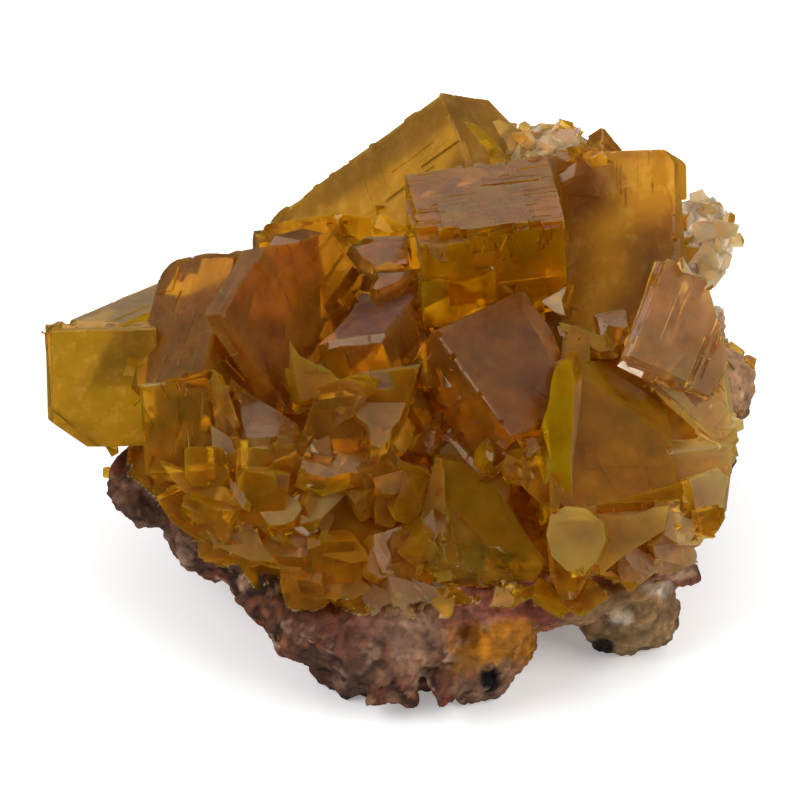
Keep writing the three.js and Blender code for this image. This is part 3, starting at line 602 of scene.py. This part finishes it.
class Crystal:
    def __init__(self, name, corner, edges, size, tint, haze, steps, painted_light_faces=()):
        self.name = name
        self.origin = from_view(*corner)
        self.axes = cube_edges(edges)
        self.size = [length * MM for length in size]
        self.tint = tint
        self.haze = haze
        self.steps = steps
        self.painted_light_faces = painted_light_faces
        self.to_local = Matrix(self.axes)

    def point(self, a, b, c):
        return self.origin + a * self.axes[0] + b * self.axes[1] + c * self.axes[2]

    def local(self, point):
        return self.to_local @ (point - self.origin)

    def holds(self, point):
        near, far = -CRYSTAL_ABOVE * MM, CRYSTAL_BEYOND * MM
        return all(near < value < side + far for value, side in zip(self.local(point), self.size))

    def tint_of(self, normal):
        """Tint of the face that looks this way; some single faces carry painted glow or painted sheen."""
        for face, tint in self.painted_light_faces:
            if normal.dot(self.axes[face]) < -SAME_WAY:
                return tint
        return self.tint

    def matrix(self, low, high):
        """Places a unit cube between two corners, measured along the edges of the crystal."""
        middle = self.point(*((l + h) / 2 for l, h in zip(low, high)))
        scaled = Matrix([axis * (h - l) for axis, l, h in zip(self.axes, low, high)]).transposed()
        return Matrix.Translation(middle) @ scaled.to_4x4()


def mesh_from(bm, name):
    mesh = bpy.data.meshes.new(name)
    bm.to_mesh(mesh)
    bm.free()
    return mesh


def welded_copy(cad_node, name):
    """Copy of the mesh of a CAD node with its corners joined, so that it is closed."""
    bm = bmesh.new()
    bm.from_mesh(frame["nodes"][cad_node].data)
    bmesh.ops.remove_doubles(bm, verts=bm.verts, dist=2e-7)
    mesh = mesh_from(bm, name)
    mesh.materials.clear()
    return new_object(name, mesh)


def box_mesh(matrix):
    bm = bmesh.new()
    bmesh.ops.create_cube(bm, size=1, matrix=matrix)
    if matrix.to_3x3().determinant() < 0:
        bmesh.ops.reverse_faces(bm, faces=bm.faces)
    return mesh_from(bm, "box")


def apply_modifiers(piece):
    graph = bpy.context.evaluated_depsgraph_get()
    result = bpy.data.meshes.new_from_object(piece.evaluated_get(graph))
    piece.modifiers.clear()
    piece.data = result


def combine(piece, meshes, operation):
    """Joins or cuts the closed meshes with the piece, in one go."""
    tools = bpy.data.collections.new("tools")
    bpy.context.scene.collection.children.link(tools)
    for mesh in meshes:
        tools.objects.link(bpy.data.objects.new("tool", mesh))
    modifier = piece.modifiers.new("combine", "BOOLEAN")
    modifier.solver = "MANIFOLD"
    modifier.operation = operation
    modifier.operand_type = "COLLECTION"
    modifier.collection = tools
    apply_modifiers(piece)
    for tool in list(tools.objects):
        bpy.data.objects.remove(tool)
    bpy.data.collections.remove(tools)


def bvh_of(*pieces):
    bm = bmesh.new()
    for piece in pieces:
        bm.from_mesh(piece.data)
    tree = BVHTree.FromBMesh(bm)
    bm.free()
    return tree


def random_direction(rng):
    return Vector((rng.gauss(0, 1), rng.gauss(0, 1), rng.gauss(0, 1))).normalized()


def random_turn(rng):
    axis = random_direction(rng)
    return Matrix.Rotation(rng.uniform(0, math.pi), 4, axis)


def growth_plates(solid, crystal, rng):
    """Thin plates on the near faces: the solid's own surface, lifted inside a box along the edges."""
    plates = []
    for face, count, lowest, highest in crystal.steps:
        for _ in range(count):
            height = rng.uniform(lowest, highest) * MM
            low, high = [0, 0, 0], [0, 0, 0]
            for i in range(3):
                side = crystal.size[i]
                end = (1 + PLATE_OVERHANG) * side
                part = rng.uniform(*PLATE_LENGTH) * side
                start = rng.choice((-PLATE_OVERHANG * side, end - part, rng.uniform(*PLATE_START) * side))
                low[i], high[i] = start, min(start + part, end)
            low[face], high[face] = -height - PLATE_CLEARANCE * MM, PLATE_DEPTH * MM
            moved = solid.data.copy()
            moved.transform(Matrix.Translation(-height * crystal.axes[face]))
            lifted = new_object("lifted", moved)
            combine(lifted, [box_mesh(crystal.matrix(low, high))], "INTERSECT")
            if len(lifted.data.polygons) > 3:
                plates.append(lifted.data)
            bpy.data.objects.remove(lifted)
    return plates


def is_buried(point, crystal, crystals):
    """True inside another crystal, or close to it."""
    near = BURIED * MM
    for other in crystals:
        local = other.local(point)
        if other is not crystal and all(-near < v < side + near for v, side in zip(local, other.size)):
            return True
    return False


def edge_chamfers(crystal, crystals, rng):
    """Narrow worn strips along the open near edges, each in a few lengths of their own depth."""
    strips = []
    overhang = CHAMFER_OVERHANG * MM
    for k in range(3):
        for j in range(3):
            if j == k:
                continue
            i = 3 - j - k
            for far in (False, True):
                if not far and j > k:
                    continue
                out = ((crystal.axes[j] if far else -crystal.axes[j]) - crystal.axes[k]).normalized()
                across = crystal.axes[i].cross(out)
                turn = Matrix((crystal.axes[i], across, out)).transposed().to_4x4()
                start, end = -overhang, crystal.size[i] + overhang
                while start < end:
                    length = min(rng.uniform(*CHAMFER_LENGTH) * MM, end - start + CHAMFER_OVERLAP * MM)
                    depth = rng.uniform(*CHAMFER_DEPTH) * MM
                    place = [0, 0, 0]
                    place[i] = start + length / 2
                    place[j] = crystal.size[j] if far else 0
                    edge = crystal.point(*place)
                    wide, tall = (side * MM for side in CHAMFER_TOOL)
                    middle = edge + (0.5 * tall - depth) * out
                    tilt = Matrix.Rotation(rng.uniform(-CHAMFER_LEAN, CHAMFER_LEAN), 4, "Y")
                    shape = Matrix.Diagonal((length, wide, tall, 1))
                    if not is_buried(edge, crystal, crystals):
                        strips.append(box_mesh(Matrix.Translation(middle) @ turn @ tilt @ shape))
                    start += length
    return strips


def edge_nicks(crystal, crystals, rng):
    """Small bites along the near edges, where the crystal is chipped."""
    nicks = []
    for i in range(3):
        for j in range(3):
            if i == j:
                continue
            for _ in range(round(crystal.size[i] / (NICK_SPACING * MM))):
                place = [0, 0, 0]
                place[i] = rng.uniform(0, 1) * crystal.size[i]
                place[j] = rng.choice((0, crystal.size[j]))
                size = rng.uniform(*NICK_SIZE) * MM
                width = size * rng.uniform(*NICK_WIDTH)
                shape = Matrix.Diagonal((size, width, size * rng.uniform(*NICK_DEPTH), 1))
                turn = random_turn(rng)
                edge = crystal.point(*place)
                if not is_buried(edge, crystal, crystals):
                    nicks.append(box_mesh(Matrix.Translation(edge) @ turn @ shape))
    return nicks


def owner_of(point, owners):
    return next((owner for owner in owners if owner.holds(point)), None)


def corner_breaks(piece, crystals, rng):
    """Broken-off corners: deep ones on the small crystals, slight ones on the crystals of the front."""
    bm = bmesh.new()
    bm.from_mesh(piece.data)
    bm.normal_update()
    breaks = []
    for vert in bm.verts:
        arms = [edge.other_vert(vert).co - vert.co for edge in vert.link_edges]
        shortest = min(arm.length for arm in arms)
        blunt = max(arm.normalized().dot(vert.normal) for arm in arms) > BREAK_SHARPNESS
        if shortest < BREAK_SHORTEST * MM or blunt:
            continue
        if owner_of(vert.co, crystals):
            depth = rng.uniform(*BREAK_SLIGHT) * MM
        else:
            depth = min(rng.uniform(*BREAK_DEEP) * MM, BREAK_LIMIT * shortest)
        lean = Vector((rng.uniform(-1, 1), rng.uniform(-1, 1), rng.uniform(-1, 1)))
        normal = (vert.normal + BREAK_LEAN * lean).normalized()
        wide, tall = (side * depth for side in BREAK_TOOL)
        place = Matrix.Translation(vert.co + (0.5 * tall - depth) * normal)
        turn = normal.to_track_quat("Z", "Y").to_matrix().to_4x4()
        breaks.append(box_mesh(place @ turn @ Matrix.Diagonal((wide, wide, tall, 1))))
    bm.free()
    return breaks


# Fine marks cut into the faces of crystals: crystal, face, edge that they run along, the part of the face in
# millimetres along the other two edges, how many, then lowest and highest length, width and depth, and slant

SCORES = [
    ("main_cube", 2, 0, (0.2, 14.5), (0, 4), 60, (0.5, 3), (0.05, 0.2), (0.05, 0.2), 0.06),
    ("main_cube", 2, 0, (0.2, 14.5), (0, 9.5), 40, (0.8, 6), (0.05, 0.25), (0.06, 0.2), 0.04),
    ("main_cube", 2, 0, (0, 14.5), (-0.4, 0.3), 24, (0.5, 2.5), (0.4, 1.0), (0.15, 0.6), 0.1),
    ("main_cube", 2, 0, (0.3, 3.6), (-0.3, 1.6), 9, (0.8, 2.6), (0.3, 1.1), (0.4, 1.1), 0.12),
    ("main_cube", 1, 2, (0.3, 3.2), (0.3, 14.5), 60, (0.6, 3), (0.05, 0.2), (0.06, 0.25), 0.4),
    ("main_cube", 1, 2, (3, 12), (0.3, 14.5), 8, (0.6, 4), (0.04, 0.1), (0.04, 0.12), 0.1),
    ("right_plate", 2, 0, (0, 11.5), (0, 9.5), 70, (1, 8), (0.04, 0.14), (0.04, 0.12), 0.03),
    ("right_plate", 2, 0, (1, 11), (6.5, 9.5), 7, (3, 7), (0.15, 0.3), (0.2, 0.4), 0.03),
    ("back_long", 2, 0, (1, 25), (0.5, 10), 14, (2, 9), (0.05, 0.25), (0.05, 0.2), 0.04),
    ("back_long", 1, 0, (1, 25), (0.5, 10), 10, (2, 9), (0.05, 0.25), (0.05, 0.2), 0.04),
    ("back_long", 2, 0, (0, 26), (-0.3, 0.2), 16, (1, 4), (0.3, 0.9), (0.15, 0.5), 0.12),
    ("back_long", 2, 0, (0, 26), (10.1, 10.6), 16, (1, 4), (0.3, 1.1), (0.2, 0.7), 0.12),
    ("tall_right", 2, 0, (1, 20), (0.5, 13), 12, (0.6, 5), (0.04, 0.12), (0.04, 0.1), 0.02),
    ("tall_right", 2, 1, (12, 19), (0.5, 13), 6, (0.6, 3), (0.04, 0.12), (0.04, 0.1), 0.02),
    ("middle_sheen", 2, 0, (0, 7.5), (0, 8), 12, (0.8, 5), (0.05, 0.2), (0.04, 0.15), 0.06),
    ("right_big", 2, 1, (0.5, 15), (0.5, 12), 12, (0.8, 5), (0.04, 0.16), (0.04, 0.14), 0.5),
    ("right_pale", 2, 0, (0.5, 9), (0.5, 7.5), 16, (0.8, 5), (0.05, 0.2), (0.05, 0.2), 0.4),
    ("front_olive", 2, 0, (0.5, 13), (0.5, 11.5), 14, (0.8, 5), (0.05, 0.2), (0.05, 0.2), 0.4),
    ("left_orange", 2, 0, (0.5, 9), (0.5, 6.5), 16, (0.6, 3), (0.05, 0.3), (0.05, 0.3), 0.5),
    ("left_brown", 2, 1, (0.5, 15), (0.5, 9), 8, (0.6, 5), (0.05, 0.2), (0.04, 0.15), 0.2),
]


def face_scores(crystals, rng):
    cuts = []
    for name, face, along, reach, side_reach, count, length, width, depth, slant in SCORES:
        crystal = next(item for item in crystals if item.name == name)
        side = 3 - face - along
        axes = crystal.axes
        turn = Matrix((axes[along], axes[side], axes[along].cross(axes[side]))).transposed().to_4x4()
        for _ in range(count):
            place = [0, 0, 0]
            place[along] = rng.uniform(*reach) * MM
            place[side] = rng.uniform(*side_reach) * MM
            size = [rng.uniform(*pair) * MM for pair in (length, width, depth)]
            spin = Matrix.Rotation(rng.uniform(-slant, slant), 4, "Z")
            twist = Matrix.Rotation(rng.uniform(-SCORE_TWIST, SCORE_TWIST), 4, "X")
            shape = Matrix.Diagonal((size[0], size[1], 2 * size[2], 1))
            cuts.append(box_mesh(Matrix.Translation(crystal.point(*place)) @ turn @ (spin @ twist) @ shape))
    return cuts


def crumb(size, rng, points):
    """Small closed fragment with flat facets."""
    bm = bmesh.new()
    stretch = Vector((rng.uniform(*CRUMB_WIDTH), rng.uniform(*CRUMB_WIDTH), rng.uniform(*CRUMB_HEIGHT)))
    for _ in range(points):
        out = random_direction(rng)
        bm.verts.new(0.5 * size * rng.uniform(*CRUMB_RADIUS) * out * stretch)
    hull = bmesh.ops.convex_hull(bm, input=bm.verts)
    inner = hull["geom_interior"] + hull["geom_unused"]
    spare = {item for item in inner if isinstance(item, bmesh.types.BMVert)}
    bmesh.ops.delete(bm, geom=list(spare), context="VERTS")
    bmesh.ops.recalc_face_normals(bm, faces=bm.faces)
    return bm


def front_chips(tree, rng):
    pieces = []
    for outline, spacing, smallest, largest, flat, sink, _ in CHIP_FIELDS:
        left, right, low, high = reach_of(outline)
        y = low
        while y < high:
            x = left
            while x < right:
                place = x + rng.uniform(0, spacing), y + rng.uniform(0, spacing)
                size = rng.uniform(smallest, largest) * MM
                lean = (CHIP_LEAN - flat) * random_direction(rng)
                facing = (flat * VIEW_TOWARD + lean).to_track_quat("Z", "Y").to_matrix().to_4x4()
                turn = facing @ Matrix.Rotation(rng.uniform(0, math.tau), 4, "Z")
                bm = crumb(size, rng, CHIP_POINTS)
                x += spacing
                hit = surface_at(tree, *place, outline)
                if hit is None:
                    bm.free()
                    continue
                bm.transform(Matrix.Translation(hit - sink * size * VIEW_TOWARD) @ turn)
                pieces.append(mesh_from(bm, "chip"))
            y += spacing
    return pieces


def chip_tint(place):
    """Tint and haze of a chip: those of its field, or a mix of browns that changes from patch to patch."""
    right, up = place_in_view(place)
    for outline, *_, own in CHIP_FIELDS:
        if own and is_inside(right, up, outline):
            return *own, CRUST_HAZE
    cell = Vector([round(value / (CHIP_PATCH * MM)) for value in place])
    choice = int((noise.noise(cell * 0.37 + Vector((3.1, 7.7, 1.3))) + 1) * 13) % len(CHIP_TINTS)
    return *CHIP_TINTS[choice], CLEAR


def paint_crystals(mesh, owners):
    """Stores on the faces the tint of each crystal, with its haze as alpha, and the place in its own axes."""
    tint = mesh.attributes.new("tint", "FLOAT_COLOR", "FACE")
    growth = mesh.attributes.new("growth", "FLOAT_VECTOR", "CORNER")
    tints = np.ones((len(mesh.polygons), 4), np.float32)
    places = np.zeros((len(mesh.loops), 3), np.float32)
    for polygon in mesh.polygons:
        owner = owner_of(polygon.center, owners)
        if owner:
            tints[polygon.index] = (*owner.tint_of(polygon.normal), owner.haze)
            turn, start = owner.to_local, owner.origin
        else:
            tints[polygon.index] = chip_tint(polygon.center)
            turn = polygon.normal.to_track_quat("Z", "Y").to_matrix().transposed()
            start = Vector((0, 0, 0))
        for loop in polygon.loop_indices:
            places[loop] = turn @ (mesh.vertices[mesh.loops[loop].vertex_index].co - start)
    tint.data.foreach_set("color", tints.ravel())
    growth.data.foreach_set("vector", places.ravel())


def islands_of(bm):
    """Lists of connected corners, the largest list last."""
    seen, islands = set(), []
    for start in bm.verts:
        if start.index in seen:
            continue
        seen.add(start.index)
        island, waiting = [], [start]
        while waiting:
            vert = waiting.pop()
            island.append(vert)
            for edge in vert.link_edges:
                other = edge.other_vert(vert)
                if other.index not in seen:
                    seen.add(other.index)
                    waiting.append(other)
        islands.append(island)
    return sorted(islands, key=len)


def drop_strays(piece, rock):
    """Takes out fragments that touch neither the rest of the crystals nor the rock."""
    bm = bmesh.new()
    bm.from_mesh(piece.data)
    bm.verts.ensure_lookup_table()
    strays = []
    for island in islands_of(bm)[:-1]:
        faces = {face for vert in island for face in vert.link_faces}
        places = {vert: index for index, vert in enumerate(island)}
        sides = [[places[vert] for vert in face.verts] for face in faces]
        shape = BVHTree.FromPolygons([vert.co for vert in island], sides)
        if not shape.overlap(rock):
            strays += island
    bmesh.ops.delete(bm, geom=strays, context="VERTS")
    bm.to_mesh(piece.data)
    bm.free()


def fluorite_material():
    material, tree, shader, output = new_material("fluorite")
    link = tree.links.new
    tint = node(tree, "ShaderNodeAttribute", attribute_name="tint")
    growth = node(tree, "ShaderNodeAttribute", attribute_name="growth")
    cloud = noise_at(tree, growth.outputs["Vector"], 260, 3, 0.6)
    veil = noise_at(tree, growth.outputs["Vector"], 520, 4, 0.7)

    milkiness = map_range(tree, veil, (0.52, 0.78), (0, 1.4))
    milk = node(tree, "ShaderNodeMix", data_type="RGBA")
    milk.inputs["B"].default_value = (0.80, 0.54, 0.14, 1)
    link(math_of(tree, "MULTIPLY", milkiness, tint.outputs["Alpha"]), milk.inputs["Factor"])
    shade = shaded(tree, tint.outputs["Color"], map_range(tree, cloud, (0.3, 0.7), (0.7, 1.25)))
    link(shade, milk.inputs["A"])
    link(milk.outputs["Result"], shader.inputs["Base Color"])

    unevenness = map_range(tree, veil, (0.35, 0.7), (-0.05, 0.08))
    link(math_of(tree, "ADD", tint.outputs["Alpha"], unevenness), shader.inputs["Roughness"])
    add_bump(tree, shader, veil, 0.012 * MM)

    set_inputs(shader, {"IOR": 1.434, "Transmission Weight": 0.84, "Specular IOR Level": 0.1,
                        "Specular Tint": (1.0, 0.87, 0.7, 1), "Subsurface Weight": 1.0,
                        "Subsurface Radius": (1.0, 0.6, 0.1), "Subsurface Scale": 4 * MM})
    absorb = node(tree, "ShaderNodeVolumeAbsorption", {"Color": (0.86, 0.70, 0.0, 1), "Density": 110})
    link(absorb.outputs["Volume"], output.inputs["Volume"])
    return material


def make_crystals():
    rng = random.Random(CRYSTAL_SEED)
    piece = welded_copy("fluorite_crystals", "crystals")
    rock = frame["nodes"]["matrix_rock"]
    crystals = [Crystal(name, *item) for name, item in CRYSTALS.items()]
    combine(piece, corner_breaks(piece, crystals, rng), "DIFFERENCE")
    plates = [plate for crystal in crystals for plate in growth_plates(piece, crystal, rng)]
    combine(piece, plates, "UNION")
    behind = bvh_of(piece, rock)
    facets = [Facet(crystals, behind, *item) for item in FACETS.values()]
    combine(piece, [facet.clearing() for facet in facets if facet.clears], "DIFFERENCE")
    combine(piece, [facet.mesh() for facet in facets], "UNION")
    chips = front_chips(bvh_of(piece, rock), rng)
    wear = face_scores(crystals, rng)
    for crystal in crystals:
        wear += edge_chamfers(crystal, crystals, rng) + edge_nicks(crystal, crystals, rng)
    combine(piece, wear, "DIFFERENCE")
    combine(piece, chips, "UNION")
    drop_strays(piece, bvh_of(rock))
    paint_crystals(piece.data, facets[::-1] + crystals)
    piece.data.materials.clear()
    piece.data.materials.append(fluorite_material())
    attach(piece, "root")
    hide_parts("fluorite_crystals")
    return piece


# Colours of the rock: grains of all the surface, and zones of the view with their middle, half size,
# colour, sharpness of the border and share of the zone's colour

# Pale colour painted on the rock where crystals lie close over it, so that more light comes back up through
# them: painted glow
PAINTED_UNDERGLOW = Vector((0.75, 0.5, 0.2))
GRAINS = [Vector(c) for c in (
    (0.15, 0.052, 0.02), (0.19, 0.062, 0.032), (0.05, 0.024, 0.013), (0.18, 0.045, 0.02),
    (0.24, 0.12, 0.06), (0.11, 0.045, 0.024), (0.34, 0.19, 0.12))]
ROCK_ZONES = [
    ((-26, -13), (8, 7), (0.10, 0.05, 0.03), 1.5, 0.6),
    ((1.0, -22.5), (4.5, 4.5), (0.33, 0.18, 0.11), 1.5, 0.6),
    ((-5.5, -22), (4, 3), (0.17, 0.06, 0.035), 1.5, 0.7),
    ((17, -20), (14, 3.2), (0.24, 0.065, 0.035), 2, 0.85),
    ((10.0, -25), (5.5, 2.8), (0.34, 0.12, 0.003), 2, 0.9),
    ((-6.5, -27.5), (4.5, 3), (0.075, 0.04, 0.026), 2, 0.7),
    ((10.8, -28.8), (4.5, 2.6), (0.25, 0.13, 0.08), 2, 0.7),
    ((9.1, -27.8), (1.2, 1.3), (0.012, 0.009, 0.007), 2, 1),
    ((23, -22.5), (6.5, 4.5), (0.27, 0.17, 0.065), 3, 0.75),
    ((20.5, -24.8), (1.0, 0.9), (0.03, 0.022, 0.015), 2, 1),
    ((22, -22), (1.4, 0.9), (0.55, 0.45, 0.33), 2, 0.8),
    ((25.7, -18.8), (1.4, 0.9), (0.55, 0.44, 0.32), 2, 0.8),
    ((27.5, -16.4), (2.2, 1.6), (0.42, 0.27, 0.17), 3, 0.9),
    ((33.5, 4), (4, 7), (0.40, 0.22, 0.11), 2, 0.8),
    ((31, 17.5), (6, 7), (0.66, 0.53, 0.37), 3, 0.85),
    ((14, 26.5), (5, 4), (0.46, 0.33, 0.15), 3, 0.85),
]

# Skin of the rock: its crumbs, grains, waves and pebbles, and the pale painted glow under the crystals.
# Sizes, heights and gaps are in millimetres; the sink and the room of a crumb are parts of its size.

ROCK_SEED = 11
CRUMB_COUNT = 1500
CRUMB_POINTS = 10
CRUMB_LEAST = (0.5, 1.2)
CRUMB_RATE = 1.6
CRUMB_MOST = 2.8
CRUMB_SINK = 0.12
CRUMB_ROOM = 0.7
CRUMB_OPEN = 5
GRAIN_CELL = 1.5
GRAIN_BEND = 0.5
BEND_SCALE = 0.8
WAVER = 0.45
WAVER_SCALES = (3, 0.9)
WAVER_FINE = 0.8
SKIN_VOXEL = 0.36
SKIN_WAVES = ((0.45, 2.4), (0.3, 0.9))
PEBBLE_CELL = 1.3
PEBBLE_HEIGHT = 0.5
PEBBLE_FOOT = 0.15
CALM_GAP = 0.3
CALM_SPAN = 0.5
PALE_FROM = 0.28
UNDERGLOW_GAP = 1.5
UNDERGLOW_REACH = 3
RAY_STEP = 0.1


def clamped(value, low, high):
    return min(max(value, low), high)


def rock_colour(point):
    """Colour of the rock at a place: grains of several browns, then the zones with wavering borders."""
    bend = GRAIN_BEND * MM * noise.noise_vector(point / (BEND_SCALE * MM))
    distances, seeds = noise.voronoi((point + bend) / (GRAIN_CELL * MM))
    pick = noise.cell(seeds[0] * 7.31 + Vector((0.5, 0.5, 0.5)))
    colour = GRAINS[int(abs(pick) * 97) % len(GRAINS)].copy()
    colour *= 0.55 + 0.45 * min((distances[1] - distances[0]) * 4, 1)
    right, up = place_in_view(point)
    coarse, fine = (scale * MM for scale in WAVER_SCALES)
    waver = noise.noise(point / coarse + Vector((9, 2, 5))) + WAVER_FINE * noise.noise(point / fine)
    for (x, y), (wide, high), zone, sharp, share in ROCK_ZONES:
        reach = math.hypot((right - x) / wide, (up - y) / high) + WAVER * waver
        colour = colour.lerp(Vector(zone), share * clamped(0.5 + sharp * (1 - reach), 0, 1))
    return colour


def rock_crumbs(piece, crystal_tree, rng):
    """Angular crumbs all over the open surface of the rock."""
    mesh = piece.data
    mesh.calc_loop_triangles()
    triangles = list(mesh.loop_triangles)
    picks = rng.choices(triangles, weights=[triangle.area for triangle in triangles], k=CRUMB_COUNT)
    crumbs = []
    for triangle in picks:
        corners = [mesh.vertices[i].co for i in triangle.vertices]
        a, b = rng.random(), rng.random()
        if a + b > 1:
            a, b = 1 - a, 1 - b
        place = corners[0] + a * (corners[1] - corners[0]) + b * (corners[2] - corners[0])
        size = min(rng.uniform(*CRUMB_LEAST) + rng.expovariate(CRUMB_RATE), CRUMB_MOST) * MM
        turn = random_turn(rng)
        normal = triangle.normal
        near = crystal_tree.find_nearest(place)[3]
        open_side = crystal_tree.ray_cast(place + 0.02 * MM * normal, normal, CRUMB_OPEN * MM)[0] is None
        if place.z < size or near < CRUMB_ROOM * size or not open_side:
            continue
        bm = crumb(size, rng, CRUMB_POINTS)
        bm.transform(Matrix.Translation(place - CRUMB_SINK * size * normal) @ turn)
        crumbs.append(mesh_from(bm, "crumb"))
    return crumbs


def is_covered(place, normal, crystal_tree):
    """True where crystals lie over the rock, both in the front view and straight out of its surface."""
    step = RAY_STEP * MM
    if crystal_tree.ray_cast(place + step * VIEW_TOWARD, VIEW_TOWARD)[0] is None:
        return False
    return crystal_tree.ray_cast(place + step * normal, normal, UNDERGLOW_REACH * MM)[0] is not None


def roughness_at(place):
    """Height of the rock's skin at a place: two waves of noise and pebbles."""
    (high, wide), (low, fine) = SKIN_WAVES
    rough = high * noise.noise(place / (wide * MM)) + low * noise.noise(place / (fine * MM))
    near, next_near = noise.voronoi(place / (PEBBLE_CELL * MM))[0][:2]
    return rough + (PEBBLE_HEIGHT * min(next_near - near, 0.5) - PEBBLE_FOOT)


def roughen_rock(piece, crystal_tree):
    """Even fine mesh with a rough surface, calm where the crystals stand close."""
    remesh = piece.modifiers.new("remesh", "REMESH")
    remesh.mode = "VOXEL"
    remesh.voxel_size = SKIN_VOXEL * MM
    remesh.use_smooth_shade = True
    apply_modifiers(piece)
    mesh = piece.data
    stain = mesh.attributes.new("stain", "FLOAT_COLOR", "POINT")
    colours = np.ones((len(mesh.vertices), 4), np.float32)
    places = np.zeros((len(mesh.vertices), 3), np.float32)
    for vert in mesh.vertices:
        place = vert.co.copy()
        gap = crystal_tree.find_nearest(place)[3]
        calm = clamped((gap - CALM_GAP * MM) / (CALM_SPAN * MM), 0, 1)
        colour = rock_colour(place)
        rough = roughness_at(place) * (1 + max(colour.x - PALE_FROM, 0))
        # The colour follows the height of the skin: darker in its hollows and lighter on its rises, painted
        # shade and light
        colour *= 0.75 + 0.9 * clamped(rough + 0.2, -0.1, 0.5)
        # Where crystals lie close over the rock it is painted pale: painted glow seen through the crystals
        covered = gap < UNDERGLOW_GAP * MM and is_covered(place, vert.normal, crystal_tree)
        colours[vert.index, :3] = PAINTED_UNDERGLOW if covered else colour
        moved = place + vert.normal * MM * calm * rough
        moved.z = max(moved.z, 0)
        places[vert.index] = moved
    mesh.vertices.foreach_set("co", places.ravel())
    stain.data.foreach_set("color", colours.ravel())
    mesh.update()


def rock_material():
    material, tree, shader, _ = new_material("rock")
    stain = node(tree, "ShaderNodeAttribute", attribute_name="stain")
    place = node(tree, "ShaderNodeTexCoord")
    grain = noise_at(tree, place.outputs["Object"], 900, 6, 0.7)
    colour = shaded(tree, stain.outputs["Color"], map_range(tree, grain, (0.3, 0.7), (0.5, 1.5)))
    tree.links.new(colour, shader.inputs["Base Color"])
    add_bump(tree, shader, grain, 0.2 * MM)
    set_inputs(shader, {"Roughness": 0.6, "Specular IOR Level": 0.15})
    return material


def make_rock(crystals):
    rng = random.Random(ROCK_SEED)
    crystal_tree = bvh_of(crystals)
    piece = welded_copy("matrix_rock", "rock")
    combine(piece, rock_crumbs(piece, crystal_tree, rng), "UNION")
    roughen_rock(piece, crystal_tree)
    piece.data.materials.clear()
    piece.data.materials.append(rock_material())
    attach(piece, "root")
    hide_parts("matrix_rock")


add_camera()
add_floor()
bpy.context.scene.view_settings.view_transform = "Standard"
set_world()
for lamp in LAMPS:
    add_lamp(*lamp)

make_rock(make_crystals())
